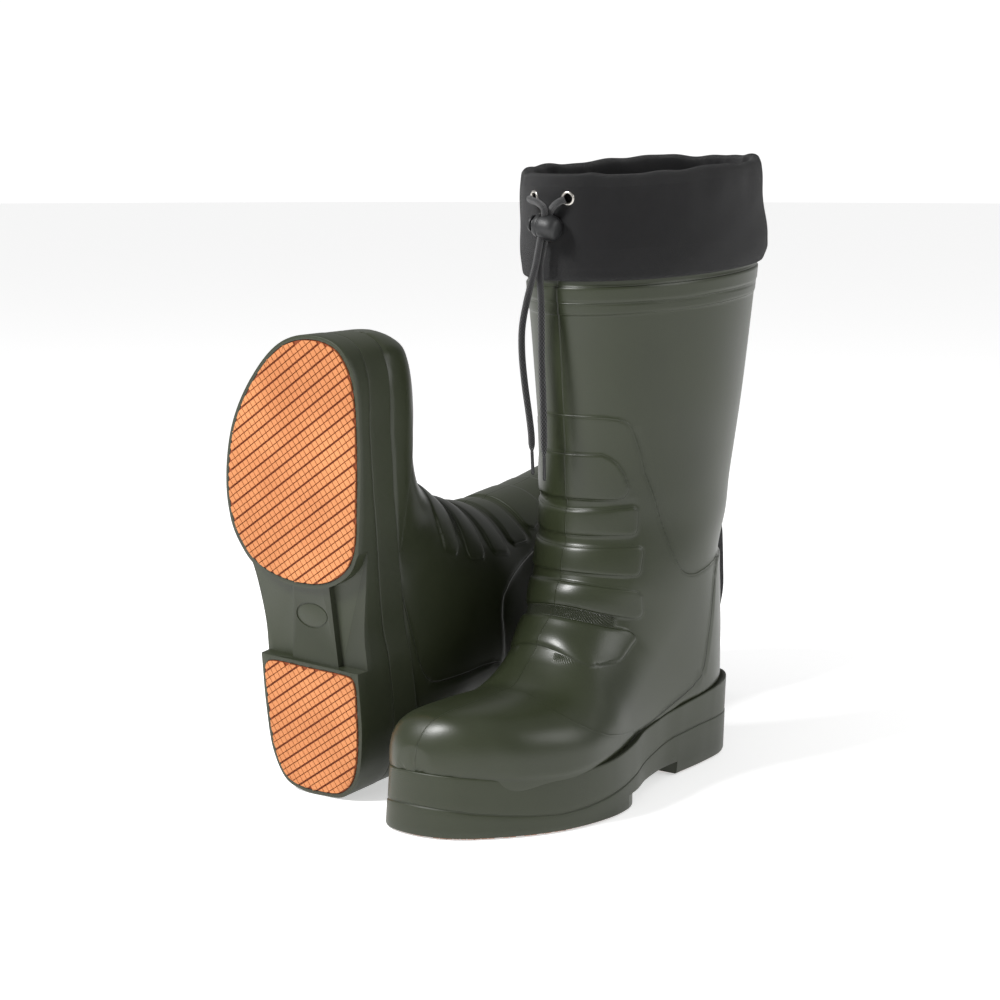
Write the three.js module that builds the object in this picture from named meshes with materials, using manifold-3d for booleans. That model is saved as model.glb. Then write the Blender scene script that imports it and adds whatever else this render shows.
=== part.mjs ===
// A pair of insulated moulded hunting boots. One stands, the other lies on its back beside it.
// Units are millimetres, +Z is up. Each boot is drawn in its own frame: x to the outer side of the
// foot, y = 0 at the back of the heel with the toe towards -y, z = 0 on the ground under the treads.
import * as THREE from "three";
import { mergeVertices } from "three/addons/utils/BufferGeometryUtils.js";
import Module from "manifold-3d";

const wasm = await Module();
wasm.setup();

// ---- driving dimensions ----
const SOLE_LENGTH = 305;
const SOLE_WIDTH = 118;
const SHELL_HEIGHT = 346; // ground to the moulded shell's top edge, at the front
const WALL = 8; // moulded foam wall
const FIT = 0.8; // clearance between shell, liner and insole
const LINER_THICKNESS = 5;
const INSOLE_THICKNESS = 4.5;
const TREAD_THICKNESS = 4.2;
const TREAD_PROUD = 1.2; // how far the rubber stands below the foam rim
const RIM_WIDTH = 3; // foam rim left round each tread
const GAP = 0.3; // between parts that touch
const ARCH_HEIGHT = 10;
const SHANK_DEPTH = 4.5; // how far the shank panel stands below the arch
const LUG = { width: 34, height: 18, depth: 5, level: 74 };
const CUFF_HEIGHT = 55;
const HEM_DROP = 15; // from the cuff's rim down to the middle of the drawcord channel
const CUFF_OVERLAP = 12;
const CUFF_CLOTH = 2.2;
const HEM_CHANNEL = 3.2; // radius of the hem's drawcord channel
const EYELET = { hole: 2.8, barrel: 3.3, flange: 4.65, thickness: 0.8, spread: 0.205, shift: 0.09 };
const CORD_RADIUS = 2.2;
const CORD_PLAY = 0.7; // clearance round the cords in the lock
const TIP_RADIUS = 1.1;
const TIP_LENGTH = 16;
const LOCK = { radius: 8.3, inner: 10.3, outer: 5.6, clearance: 0.4 };
const PLUNGER = { stem: 6, foot: 4.6, button: 5.3, buttonThickness: 2.2, travel: 2.6 };
const SPRING_WIRE = 0.35;
const LEAN = THREE.MathUtils.degToRad(12); // tilt of the cord lock and of the cords through it
const STAND_POINT = 215; // heel to the point under the ball of the foot, which is the origin
const LYING_AT = { x: -127, y: -56, yaw: -1 };

// ---- the last: stations that the tables below are drawn on ----
const LAST = { length: 305, width: 118, height: 346 };
const along = SOLE_LENGTH / LAST.length;
const across = SOLE_WIDTH / LAST.width;
const upward = SHELL_HEIGHT / LAST.height;
const PIVOT = { forward: 215, z: 150 }; // the planes fan round this point in front of the ankle

// Each station is a plane through a line parallel to x. Columns: the line's forward place and height,
// the plane's slope below the horizontal in degrees, the distances from the line to the near side,
// the widest place and the far side, the centre in x, the half-width, and the roundness (2 is an
// ellipse, more is squarer) of the near and far halves.
const STATIONS = [
  [301.5, 150, 90, 101, 116, 132, -22, 5, 2.2, 2.2],
  [299, 150, 90, 92, 112, 132, -20, 15, 2.4, 3],
  [295, 150, 90, 84, 109, 132, -18.5, 23, 2.5, 3.5],
  [289, 150, 90, 78, 107, 132, -16.5, 30.5, 2.6, 4],
  [280, 150, 90, 75, 106, 132, -13, 37, 2.6, 4],
  [268, 150, 90, 73.5, 105, 132, -8, 44.5, 2.5, 4],
  [250, 150, 90, 72, 104, 132, -3, 50, 2.4, 4],
  [232, 150, 90, 70.5, 104, 132, 1, 53, 2.3, 4],
  [215, 150, 90, 68, 104, 132, 3, 54, 2.2, 4],
  [215, 150, 75, 59, 104, 136.7, 3.5, 52, 2.1, 3.4],
  [215, 150, 60, 51, 104, 152.4, 2, 47.5, 2.1, 2.8],
  [215, 150, 48, 49, 105, 177.6, 0, 46.5, 2.1, 2.6],
  [215, 150, 38, 47, 108, 214, -1, 46.5, 2.1, 2.5],
  [215, 150, 32, 47, 112, 243, -1.5, 47, 2.1, 2.5],
  [215, 150, 20, 46, 120, 220, -1, 50.5, 2.1, 2.3],
  [215, 150, 10, 47, 122, 204, 0, 53, 2.1, 2.1],
  [215, 150, 0, 49, 123, 198, 0, 54.6, 2, 2],
  [215, 177, 0, 54, 131, 209, 0, 54.7, 2, 2],
  [215, 198, 0, 53.5, 132.5, 213, 0, 55.2, 2, 2],
  [215, 225, 0, 52, 135, 220, 0, 56.6, 2, 2],
  [215, 252, -0.7, 49.5, 136, 226, 0.3, 58.8, 2, 2],
  [215, 292, -1.8, 45, 137, 232.5, 0.8, 62, 2, 2],
  [215, 320, -2.6, 41.5, 137, 236, 1.3, 64.3, 2, 2],
  [215, 346, -3.2, 40.5, 137, 238, 1.8, 66, 2, 2],
];
const LAST_FLOOR = 132; // how far the last's bottom lies below the pivot
const FIRST_LINED = 3; // the station where the foot room starts, behind the toe cap
const RING_SIDES = 26;
const ROOM_SIDES = 20;

// The sole's outline, as (x, forward) from the toe round the outer side, and the midsole's top edge
// as (forward, height, how far it lies inside the bottom edge).
const SOLE_OUTLINE = [
  [-20, 305], [6, 299], [32, 276], [53, 242], [61.5, 200], [57, 168], [47, 140], [41, 112],
  [40, 88], [39, 55], [35, 24], [25, 6], [10, 0.5], [-6, 0], [-24, 2], [-37, 14], [-43.5, 42],
  [-43.5, 84], [-42.5, 112], [-47.5, 150], [-53.5, 198], [-57, 245], [-55, 280], [-43, 299],
];
const MIDSOLE_TOP = [
  [0, 56, 0.5], [20, 55, -2.5], [45, 53, -4.5], [92, 49.5, -5], [125, 46, -3.5], [152, 43.5, -0.5],
  [200, 37.5, 2], [240, 34.5, 2.5], [272, 36, 2.5], [305, 40.5, 2.5],
];
// The arch recess: the forefoot's rounded rear edge, then the heel's front edge.
const FOREFOOT_REAR = [
  [90, 193], [64, 186], [54, 167], [42, 152], [22, 143], [-2, 140], [-24, 143], [-42, 154],
  [-54, 172], [-90, 181],
];
const HEEL_FRONT = [[-90, 88], [-43, 88], [36, 91], [90, 92]];
const SHANK = [[-24, 84], [16, 84], [11, 150], [-19, 150]]; // the panel that stiffens the arch

const slot = (name, color, roughness, metalness = 0) =>
  new THREE.MeshStandardMaterial({ name, color, roughness, metalness });

// ---- solids ----
function toManifold(geometry) {
  const bare = geometry.clone();
  bare.deleteAttribute("normal");
  bare.deleteAttribute("uv");
  const merged = mergeVertices(bare, 1e-4);
  const vertProperties = merged.attributes.position.array;
  const triVerts = new Uint32Array(merged.index.array);
  if (signedVolume(vertProperties, triVerts) < 0) triVerts.reverse();
  return new wasm.Manifold(new wasm.Mesh({ numProp: 3, vertProperties, triVerts }));
}

function signedVolume(positions, index) {
  const corner = (i) => new THREE.Vector3().fromArray(positions, 3 * index[i]);
  let volume = 0;
  for (let i = 0; i < index.length; i += 3) {
    volume += corner(i).dot(corner(i + 1).cross(corner(i + 2))) / 6;
  }
  return volume;
}

function toGeometry(solid) {
  const mesh = solid.getMesh();
  const geometry = new THREE.BufferGeometry();
  geometry.setAttribute("position", new THREE.BufferAttribute(mesh.vertProperties, 3));
  geometry.setIndex(new THREE.BufferAttribute(mesh.triVerts, 1));
  geometry.computeVertexNormals();
  return geometry;
}

// A closed skin over rings of points, with a fan over each end.
function loft(rings) {
  const sides = rings[0].length;
  const centre = (ring) => ring.reduce((sum, p) => sum.add(p), new THREE.Vector3()).divideScalar(sides);
  const points = [...rings.flat(), centre(rings[0]), centre(rings.at(-1))];
  const index = [];
  for (let k = 0; k + 1 < rings.length; k++) {
    for (let i = 0; i < sides; i++) {
      const a = k * sides + i;
      const b = k * sides + ((i + 1) % sides);
      index.push(a, a + sides, b, b, a + sides, b + sides);
    }
  }
  const start = rings.length * sides;
  const last = (rings.length - 1) * sides;
  for (let i = 0; i < sides; i++) {
    const next = (i + 1) % sides;
    index.push(start, i, next, start + 1, last + next, last + i);
  }
  return new THREE.BufferGeometry().setFromPoints(points).setIndex(index);
}

// A closed ring-shaped skin: sections[k] is a closed section, and the last joins the first.
function hoop(sections) {
  const sides = sections[0].length;
  const index = [];
  for (let k = 0; k < sections.length; k++) {
    for (let i = 0; i < sides; i++) {
      const row = ((k + 1) % sections.length) * sides;
      const a = k * sides + i;
      const b = k * sides + ((i + 1) % sides);
      const c = row + i;
      index.push(a, c, b, b, c, row + ((i + 1) % sides));
    }
  }
  return new THREE.BufferGeometry().setFromPoints(sections.flat()).setIndex(index);
}

// A straight-sided solid over an outline of (x, forward) points.
function prism(outline, low, high) {
  const shape = new THREE.Shape(outline.map((p) => new THREE.Vector2(p.x, -p.y)));
  const geometry = new THREE.ExtrudeGeometry(shape, { depth: high - low, bevelEnabled: false });
  return geometry.translate(0, 0, low);
}

function smooth(points, count, closed = true) {
  const scaled = points.map(([x, forward]) => new THREE.Vector3(x * across, forward * along, 0));
  const curve = new THREE.CatmullRomCurve3(scaled, closed, "centripetal");
  const sampled = curve.getPoints(count);
  if (closed) sampled.pop();
  return sampled.map((p) => new THREE.Vector2(p.x, p.y));
}

// The outline moved inwards by a distance, or outwards by a negative one.
function inset(outline, distance) {
  const reach = typeof distance === "function" ? distance : () => distance;
  const turn = THREE.ShapeUtils.area(outline) > 0 ? 1 : -1;
  return outline.map((p, i) => {
    const before = outline.at(i - 1);
    const after = outline[(i + 1) % outline.length];
    const run = after.clone().sub(before).normalize().multiplyScalar(reach(p) * turn);
    return new THREE.Vector2(p.x - run.y, p.y + run.x);
  });
}

// ---- the boot's rings ----
const power = (value, n) => Math.sign(value) * Math.abs(value) ** (2 / n);

// A ring of the shell's outside at one station, moved inwards by a depth.
function stationRing(station, depth = 0, setBack = 0, sides = RING_SIDES) {
  const [forward, level, slope, near, wide, far, middle, half, nearRound, farRound] = station;
  const angle = THREE.MathUtils.degToRad(slope);
  const ring = [];
  for (let i = 0; i < sides; i++) {
    const turn = (2 * Math.PI * i) / sides;
    const front = Math.sin(turn) > 0;
    const round = front ? nearRound : farRound;
    const reach = front ? wide - near - depth : far - wide - depth;
    const distance = wide - reach * power(Math.sin(turn), round);
    const x = middle * across + (half * across - depth) * power(Math.cos(turn), round);
    const y = (forward - distance * Math.cos(angle)) * along - setBack;
    const z = (level - distance * Math.sin(angle)) * upward;
    ring.push(new THREE.Vector3(x, -y, z));
  }
  return ring;
}

const raised = (ring, rise) => ring.map((p) => p.clone().add(new THREE.Vector3(0, 0, rise)));

// The room inside the shell at a depth below its outside, open upwards when it is given a rise.
function room(depth, first, setBack, rise) {
  const ring = (station, k) => stationRing(station, depth, k ? 0 : setBack, ROOM_SIDES);
  const rings = STATIONS.slice(first).map(ring);
  const top = rings.pop();
  rings.push(raised(top, Math.min(rise, 0)));
  if (rise > 0) rings.push(raised(top, rise));
  return toManifold(loft(rings));
}

const sole = smooth(SOLE_OUTLINE, 48);
const recess = [
  ...smooth(FOREFOOT_REAR, 16, false),
  ...HEEL_FRONT.map(([x, forward]) => new THREE.Vector2(x * across, forward * along)),
];

// The midsole's height and inset at a distance forward of the heel.
function midsoleTop(forward) {
  const at = MIDSOLE_TOP.findIndex(([f]) => f * along > forward);
  const k = at < 0 ? MIDSOLE_TOP.length - 1 : Math.max(at, 1);
  const [low, high] = [MIDSOLE_TOP[k - 1], MIDSOLE_TOP[k]];
  const between = (column) =>
    THREE.MathUtils.mapLinear(forward, low[0] * along, high[0] * along, low[column], high[column]);
  return { height: between(1) * upward, inset: between(2) };
}

function midsole() {
  const topEdge = inset(sole, (p) => midsoleTop(p.y).inset);
  const low = sole.map((p) => new THREE.Vector3(p.x, -p.y, TREAD_PROUD));
  const high = topEdge.map((p) => new THREE.Vector3(p.x, -p.y, midsoleTop(p.y).height));
  const shank = SHANK.map(([x, forward]) => new THREE.Vector2(x * across, forward * along));
  return toManifold(loft([low, high]))
    .subtract(toManifold(prism(recess, -1, ARCH_HEIGHT)))
    .add(toManifold(prism(shank, ARCH_HEIGHT - SHANK_DEPTH, ARCH_HEIGHT + 4)));
}

// Both treads' outlines in one solid, inside the foam rim by an extra margin.
function treadArea(margin, low, high) {
  const whole = toManifold(prism(inset(sole, RIM_WIDTH + margin), low, high));
  const waist = toManifold(prism(inset(recess, -RIM_WIDTH - margin), low - 1, high + 1));
  return whole.subtract(waist);
}

function tread(isHeel) {
  const split = 108 * along;
  const [from, to] = isHeel ? [-20, split] : [split, SOLE_LENGTH + 20];
  const half = new THREE.BoxGeometry(3 * SOLE_WIDTH, to - from, 40);
  half.translate(0, -(from + to) / 2, 0);
  return treadArea(GAP, 0, TREAD_THICKNESS).intersect(toManifold(half));
}

function shell() {
  const outside = toManifold(loft(STATIONS.map((s) => stationRing(s))));
  const lug = new THREE.CylinderGeometry(LUG.width / 2, LUG.width / 2 + 2, LUG.height, 20);
  lug.scale(1, 1, (2 * LUG.depth) / LUG.width);
  lug.rotateX(Math.PI / 2);
  lug.translate(-1, -11 * along, LUG.level * upward);
  const pocket = treadArea(0, -5, TREAD_THICKNESS + GAP);
  return outside
    .add(toManifold(lug))
    .add(midsole())
    .subtract(room(WALL, FIRST_LINED, 0, 25))
    .subtract(pocket);
}

function liner() {
  const skin = room(WALL + FIT, FIRST_LINED, 2 * FIT, -6);
  return skin.subtract(room(WALL + FIT + LINER_THICKNESS, FIRST_LINED + 1, FIT, 20));
}

function insole() {
  const depth = WALL + 2 * FIT + LINER_THICKNESS;
  const floor = (PIVOT.z - LAST_FLOOR) * upward + depth;
  const slab = new THREE.BoxGeometry(2 * SOLE_WIDTH, 3 * SOLE_LENGTH, 2 * INSOLE_THICKNESS);
  slab.translate(0, 0, floor);
  return room(depth, FIRST_LINED + 1, 3 * FIT, 0).intersect(toManifold(slab));
}

// ---- cuff ----
const topStation = STATIONS.at(-1);
const topSlope = THREE.MathUtils.degToRad(topStation[2]);
const CUFF_UP = new THREE.Vector3(0, Math.sin(topSlope), Math.cos(topSlope));

// A point beside the shell's top edge: a turn round it, an offset outwards and a height above it.
function cuffPoint(turn, offset, height) {
  const sides = 720;
  const at = Math.round((turn / (2 * Math.PI)) * sides) % sides;
  const ring = stationRing(topStation, -offset, 0, sides);
  return ring[at].clone().addScaledVector(CUFF_UP, height);
}

const HEM_LEVEL = CUFF_HEIGHT - HEM_DROP;
const HEM_OFFSET = 2.4 - 1.2 - HEM_CHANNEL;
const CUFF_SECTION = [
  [0.4, -CUFF_OVERLAP], [0.4 + CUFF_CLOTH, -CUFF_OVERLAP], [4, -4], [4.2, 8], [3.6, 30],
  [3, CUFF_HEIGHT - 8], [1.4, CUFF_HEIGHT - 0.8], [HEM_OFFSET, CUFF_HEIGHT],
  [HEM_OFFSET - HEM_CHANNEL - 1.2, CUFF_HEIGHT - 2.5],
  [HEM_OFFSET - HEM_CHANNEL - 1.4, HEM_LEVEL - HEM_CHANNEL - 1], [-1.6, HEM_LEVEL - HEM_CHANNEL - 5],
  [-1.4, 0.6], [0.4, 0.6],
];
const EYELET_SEAT = 2.9; // offset of the flat seat that each eyelet's flange rests on

function cuffHoop(section) {
  const sections = [];
  for (let i = 0; i < RING_SIDES; i++) {
    const turn = (2 * Math.PI * i) / RING_SIDES;
    sections.push(section.map(([offset, height]) => cuffPoint(turn, offset, height)));
  }
  return toManifold(hoop(sections));
}

// The eyelet's place on the cuff, with its axis pointing outwards.
function eyeletFrame(side) {
  const turn = Math.PI / 2 + EYELET.shift - side * EYELET.spread;
  const seat = cuffPoint(turn, EYELET_SEAT, HEM_LEVEL);
  const step = 0.01;
  const along1 = cuffPoint(turn + step, EYELET_SEAT, HEM_LEVEL).sub(cuffPoint(turn - step, EYELET_SEAT, HEM_LEVEL));
  const axis = new THREE.Vector3().crossVectors(CUFF_UP, along1).normalize();
  if (axis.y > 0) axis.negate();
  return { seat, axis };
}

function placeOnAxis(geometry, { seat, axis }) {
  const turn = new THREE.Quaternion().setFromUnitVectors(new THREE.Vector3(0, 1, 0), axis);
  return geometry.applyQuaternion(turn).translate(seat.x, seat.y, seat.z);
}

function cuff() {
  const channel = [];
  for (let i = 0; i < 8; i++) {
    const turn = ((i + 0.5) * Math.PI) / 4;
    channel.push([HEM_OFFSET + HEM_CHANNEL * Math.cos(turn), HEM_LEVEL + HEM_CHANNEL * Math.sin(turn)]);
  }
  let solid = cuffHoop(CUFF_SECTION).subtract(cuffHoop(channel));
  for (const side of [-1, 1]) {
    const hole = new THREE.CylinderGeometry(EYELET.barrel + GAP, EYELET.barrel + GAP, 8, 16);
    hole.translate(0, -1, 0);
    const face = new THREE.CylinderGeometry(EYELET.flange + 0.5, EYELET.flange + 0.5, 6, 16);
    face.translate(0, 3, 0);
    solid = solid.subtract(toManifold(placeOnAxis(hole, eyeletFrame(side))));
    solid = solid.subtract(toManifold(placeOnAxis(face, eyeletFrame(side))));
  }
  return solid;
}

function eyelet(side) {
  const { hole, barrel, flange, thickness } = EYELET;
  const profile = [
    [hole, -1.2], [barrel, -1.2], [barrel, GAP], [flange, GAP], [flange, GAP + thickness / 2],
    [flange - 0.8, GAP + thickness], [hole + 0.4, GAP + thickness], [hole, GAP + thickness / 2],
    [hole, -1.2],
  ];
  const lathe = new THREE.LatheGeometry(profile.map(([r, h]) => new THREE.Vector2(r, h)), 12);
  return toManifold(placeOnAxis(lathe, eyeletFrame(side)));
}

// ---- drawcord ----
function circle(radius, sides) {
  const shape = new THREE.Shape();
  for (let i = 0; i < sides; i++) {
    const turn = (2 * Math.PI * i) / sides;
    shape[i ? "lineTo" : "moveTo"](radius * Math.cos(turn), radius * Math.sin(turn));
  }
  shape.closePath();
  return shape;
}

function tube(points, radius, steps, sides = 8) {
  const path = new THREE.CatmullRomCurve3(points, false, "centripetal");
  return new THREE.ExtrudeGeometry(circle(radius, sides), { steps, extrudePath: path, bevelEnabled: false });
}

// The cord inside the hem, from behind one eyelet round the back to the other.
function hemCord() {
  const points = [];
  const from = Math.PI / 2 + EYELET.shift + EYELET.spread - 0.03;
  const sweep = 2 * Math.PI - 2 * EYELET.spread + 0.06;
  for (let i = 0; i <= 40; i++) {
    points.push(cuffPoint(from + (sweep * i) / 40, HEM_OFFSET, HEM_LEVEL));
  }
  return toManifold(tube(points, CORD_RADIUS, 40));
}

// Hand-chosen routes, from each eyelet's mouth, through the lock and down to the tip. They are
// measured from the middle between the eyelets: x, forward, up.
const STRANDS = {
  inner: [
    [-13.5, 4.5, -0.6], [-9.5, 7.6, -1.6], [-2.5, 11, -2.8], [3.4, 12.9, -6.4], [3.8, 13, -11.5],
    [2.5, 13, -17.6], [0.8, 13, -25.6], [-0.9, 13, -33.6], [-2.6, 13, -41.6], [-6.2, 12.4, -52],
    [-11, 11.4, -66], [-15, 10.4, -82], [-15.6, 9.8, -98], [-13.6, 9.4, -118], [-10.8, 9, -136],
    [-9, 8.6, -150], [-8.6, 8.4, -160],
  ],
  outer: [
    [13.5, 4.5, -0.6], [10.6, 6.6, -2.2], [7.2, 7.7, -5], [4.9, 8.1, -8.4], [3.8, 8.1, -11.5],
    [2.5, 8.1, -17.6], [0.8, 8.1, -25.6], [-0.9, 8.1, -33.6], [-2.6, 8.1, -41.6], [-2.8, 8.2, -52],
    [-1.6, 8.6, -66], [-1, 9, -84], [-0.6, 9.2, -104], [0.4, 9.2, -124], [1, 9, -144], [1.2, 8.8, -163],
  ],
};
const LOCK_CENTRE = [2.5, 10.55, -17.6];

const eyeletMiddle = eyeletFrame(-1).seat.add(eyeletFrame(1).seat).multiplyScalar(0.5);
const fromEyelets = ([x, forward, up]) => new THREE.Vector3(x, -forward, up).add(eyeletMiddle);

function strand(side) {
  return toManifold(tube(STRANDS[side].map(fromEyelets), CORD_RADIUS, 32));
}

function cordTip(side) {
  const route = STRANDS[side].map(fromEyelets);
  const end = route.at(-1);
  const way = end.clone().sub(route.at(-2)).normalize();
  const from = end.clone().addScaledVector(way, GAP);
  const to = from.clone().addScaledVector(way, TIP_LENGTH);
  return toManifold(tube([from, to], TIP_RADIUS, 1));
}

// The lock is drawn along +y, with its button outwards, then turned to lean beside the cords.
const lockPlace = new THREE.Matrix4().makeTranslation(...fromEyelets(LOCK_CENTRE).toArray());
const PLUNGER_AXIS = new THREE.Vector3(-Math.cos(LEAN), 0, Math.sin(LEAN));
const CORD_WAY = new THREE.Vector3(-Math.sin(LEAN), 0, -Math.cos(LEAN));
lockPlace.multiply(new THREE.Matrix4().makeBasis(
  new THREE.Vector3().crossVectors(PLUNGER_AXIS, CORD_WAY),
  PLUNGER_AXIS,
  CORD_WAY.clone(),
));

const LOCK_FLOOR = -LOCK.inner + 1.6; // the bottom of the bore that the spring stands on

const lathed = (profile, sides) =>
  new THREE.LatheGeometry(profile.map(([r, h]) => new THREE.Vector2(r, h)), sides);

// Two overlapping bores, side by side, that both cords run through.
function cordSlot(radius, length, from, to) {
  let solid = null;
  for (const shift of [-2.45, 2.45]) {
    for (const at of [from, to]) {
      const bore = new THREE.CylinderGeometry(radius, radius, length, 16);
      bore.rotateX(Math.PI / 2).translate(shift, at, 0);
      solid = solid ? solid.add(toManifold(bore)) : toManifold(bore);
    }
  }
  const box = new THREE.BoxGeometry(2 * 2.45, to - from + 2 * radius, length);
  return solid.add(toManifold(box.translate(0, (from + to) / 2, 0)));
}

function lockBarrel() {
  const { radius, inner, outer, clearance } = LOCK;
  const body = [
    [0, -inner], [4.4, -inner], [radius - 1.3, -inner + 1.7], [radius - 0.3, -inner + 4.6],
    [radius, -2], [radius - 0.2, 1.4], [radius - 0.7, 4], [radius - 1, outer], [0, outer],
  ];
  const stem = PLUNGER.stem + clearance;
  const bore = [[0, LOCK_FLOOR], [stem - 1.4, LOCK_FLOOR], [stem, LOCK_FLOOR + 1.8], [stem, 9], [0, 9]];
  return toManifold(lathed(body, 20))
    .subtract(toManifold(lathed(bore, 20)))
    .subtract(cordSlot(CORD_RADIUS + CORD_PLAY, 30, 0, 0.01));
}

function plunger() {
  const head = LOCK.outer + PLUNGER.travel + 0.2;
  const body = [
    [0, -PLUNGER.foot], [PLUNGER.stem, -PLUNGER.foot], [PLUNGER.stem, LOCK.outer - 0.5], [4.2, LOCK.outer],
    [4.2, head], [PLUNGER.button, head], [PLUNGER.button, head + PLUNGER.buttonThickness - 0.7],
    [PLUNGER.button - 0.8, head + PLUNGER.buttonThickness], [0, head + PLUNGER.buttonThickness],
  ];
  return toManifold(lathed(body, 20))
    .subtract(cordSlot(CORD_RADIUS + CORD_PLAY, 30, 0, PLUNGER.travel));
}

function lockSpring() {
  const low = LOCK_FLOOR + GAP + SPRING_WIRE;
  const high = -PLUNGER.foot - GAP - SPRING_WIRE;
  const points = [];
  for (let i = 0; i <= 30; i++) {
    const turn = (2 * Math.PI * i) / 12;
    const rise = THREE.MathUtils.lerp(low, high, i / 30);
    points.push(new THREE.Vector3(4.2 * Math.cos(turn), rise, 4.2 * Math.sin(turn)));
  }
  return toManifold(tube(points, SPRING_WIRE, 30, 6));
}

// ---- scene ----
const foam = slot("foam", 0x40462f, 0.5);
const rubber = slot("tread", 0xe0935a, 0.7);
const cloth = slot("cloth", 0x232226, 0.95);
const felt = slot("felt", 0x3a3a3d, 0.95);
const board = slot("insole", 0x55565a, 0.9);
const nickel = slot("nickel", 0xb9b4ae, 0.25, 1);
const cord = slot("cord", 0x1d1d1f, 0.85);
const plastic = slot("plastic", 0x232526, 0.45);
const steel = slot("spring", 0x9a9c9e, 0.3, 1);

function addPart(group, name, solid, material, mirrored = false, place = null) {
  const geometry = toGeometry(solid);
  if (place) geometry.applyMatrix4(place);
  if (mirrored) {
    geometry.scale(-1, 1, 1);
    geometry.setIndex(Array.from(geometry.index.array).reverse());
  }
  const mesh = new THREE.Mesh(geometry, material.clone());
  mesh.name = name;
  group.add(mesh);
  return mesh;
}

function boot(prefix, mirrored) {
  const group = new THREE.Group();
  addPart(group, prefix + "_shell", shell(), foam, mirrored);
  addPart(group, prefix + "_forefoot_tread", tread(false), rubber, mirrored);
  addPart(group, prefix + "_heel_tread", tread(true), rubber, mirrored);
  addPart(group, prefix + "_liner", liner(), felt, mirrored);
  addPart(group, prefix + "_insole", insole(), board, mirrored);
  addPart(group, prefix + "_cuff", cuff(), cloth, mirrored);
  addPart(group, prefix + "_eyelet_inner", eyelet(-1), nickel, mirrored);
  addPart(group, prefix + "_eyelet_outer", eyelet(1), nickel, mirrored);
  return group;
}

const standing = boot("standing", false);
addPart(standing, "standing_hem_cord", hemCord(), cord);
addPart(standing, "standing_strand_inner", strand("inner"), cord);
addPart(standing, "standing_strand_outer", strand("outer"), cord);
addPart(standing, "standing_cord_tip_inner", cordTip("inner"), plastic);
addPart(standing, "standing_cord_tip_outer", cordTip("outer"), plastic);
addPart(standing, "standing_cord_lock", lockBarrel(), plastic, false, lockPlace);
addPart(standing, "standing_lock_plunger", plunger(), plastic, false, lockPlace);
addPart(standing, "standing_lock_spring", lockSpring(), steel, false, lockPlace);
standing.position.y = STAND_POINT * along;

// The second boot lies on the back of its heel and of its cuff, toe up.
const lying = boot("lying", true);
const lowest = (mesh) => new THREE.Box3().setFromObject(mesh, true).min.z;
function lay(tilt) {
  const turns = [
    new THREE.Matrix4().makeRotationZ(THREE.MathUtils.degToRad(LYING_AT.yaw)),
    new THREE.Matrix4().makeRotationX(tilt - Math.PI / 2),
  ];
  lying.quaternion.setFromRotationMatrix(turns[0].multiply(turns[1]));
  lying.position.set(LYING_AT.x, LYING_AT.y, 0);
  lying.updateMatrixWorld(true);
  return lowest(lying.getObjectByName("lying_shell")) - lowest(lying.getObjectByName("lying_cuff"));
}
let [flat, steep] = [0, 0.2];
for (let i = 0; i < 24; i++) {
  const middle = (flat + steep) / 2;
  if (lay(middle) > 0) flat = middle;
  else steep = middle;
}
lying.position.z = -lowest(lying);

const pair = new THREE.Group();
pair.add(standing, lying);

export default pair;
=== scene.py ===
import math
import bmesh
import bpy
import numpy as np
from mathutils import Matrix, Vector


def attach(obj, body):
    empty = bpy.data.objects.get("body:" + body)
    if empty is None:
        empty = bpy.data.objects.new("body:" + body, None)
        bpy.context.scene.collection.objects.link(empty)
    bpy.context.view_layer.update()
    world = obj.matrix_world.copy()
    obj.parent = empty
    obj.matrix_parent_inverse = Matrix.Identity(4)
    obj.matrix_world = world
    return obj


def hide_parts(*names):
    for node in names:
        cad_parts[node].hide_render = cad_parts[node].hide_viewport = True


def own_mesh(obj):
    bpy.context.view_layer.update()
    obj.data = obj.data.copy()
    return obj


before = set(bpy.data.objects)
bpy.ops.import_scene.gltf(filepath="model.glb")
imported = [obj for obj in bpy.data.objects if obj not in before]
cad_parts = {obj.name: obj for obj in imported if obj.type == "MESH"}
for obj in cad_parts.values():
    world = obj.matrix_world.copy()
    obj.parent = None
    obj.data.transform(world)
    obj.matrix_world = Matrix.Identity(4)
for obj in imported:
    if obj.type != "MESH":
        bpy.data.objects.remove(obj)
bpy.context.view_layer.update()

# ---- studio ----
# A pale seamless floor in a white room, a large soft light high on the left and a weaker one on the
# right. The camera stands at knee height in front of the toes, to the outer side of the left boot.
CAMERA_PLACE = (0.8411, -1.1762, 0.4266)  # metres
CAMERA_TURN = 36.105  # degrees leftwards from the y axis
CAMERA_DIP = 8.893  # degrees below level
ROOM_LIGHT = 0.42  # strength of the room as a light
ROOM_SEEN = 1.05  # strength of the room as the camera sees it
FLOOR_GLOW = 0.52
camera_data = bpy.data.cameras.new("studio_camera")
camera_data.lens = 83.7
camera_data.sensor_width = 36
camera_data.clip_end = 60
camera = bpy.data.objects.new("studio_camera", camera_data)
bpy.context.scene.collection.objects.link(camera)
camera.matrix_world = (
    Matrix.Translation(CAMERA_PLACE)
    @ Matrix.Rotation(math.radians(CAMERA_TURN), 4, "Z")
    @ Matrix.Rotation(math.radians(90 - CAMERA_DIP), 4, "X")
)
bpy.context.scene.camera = camera
bpy.context.scene.view_settings.view_transform = "Standard"

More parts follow.
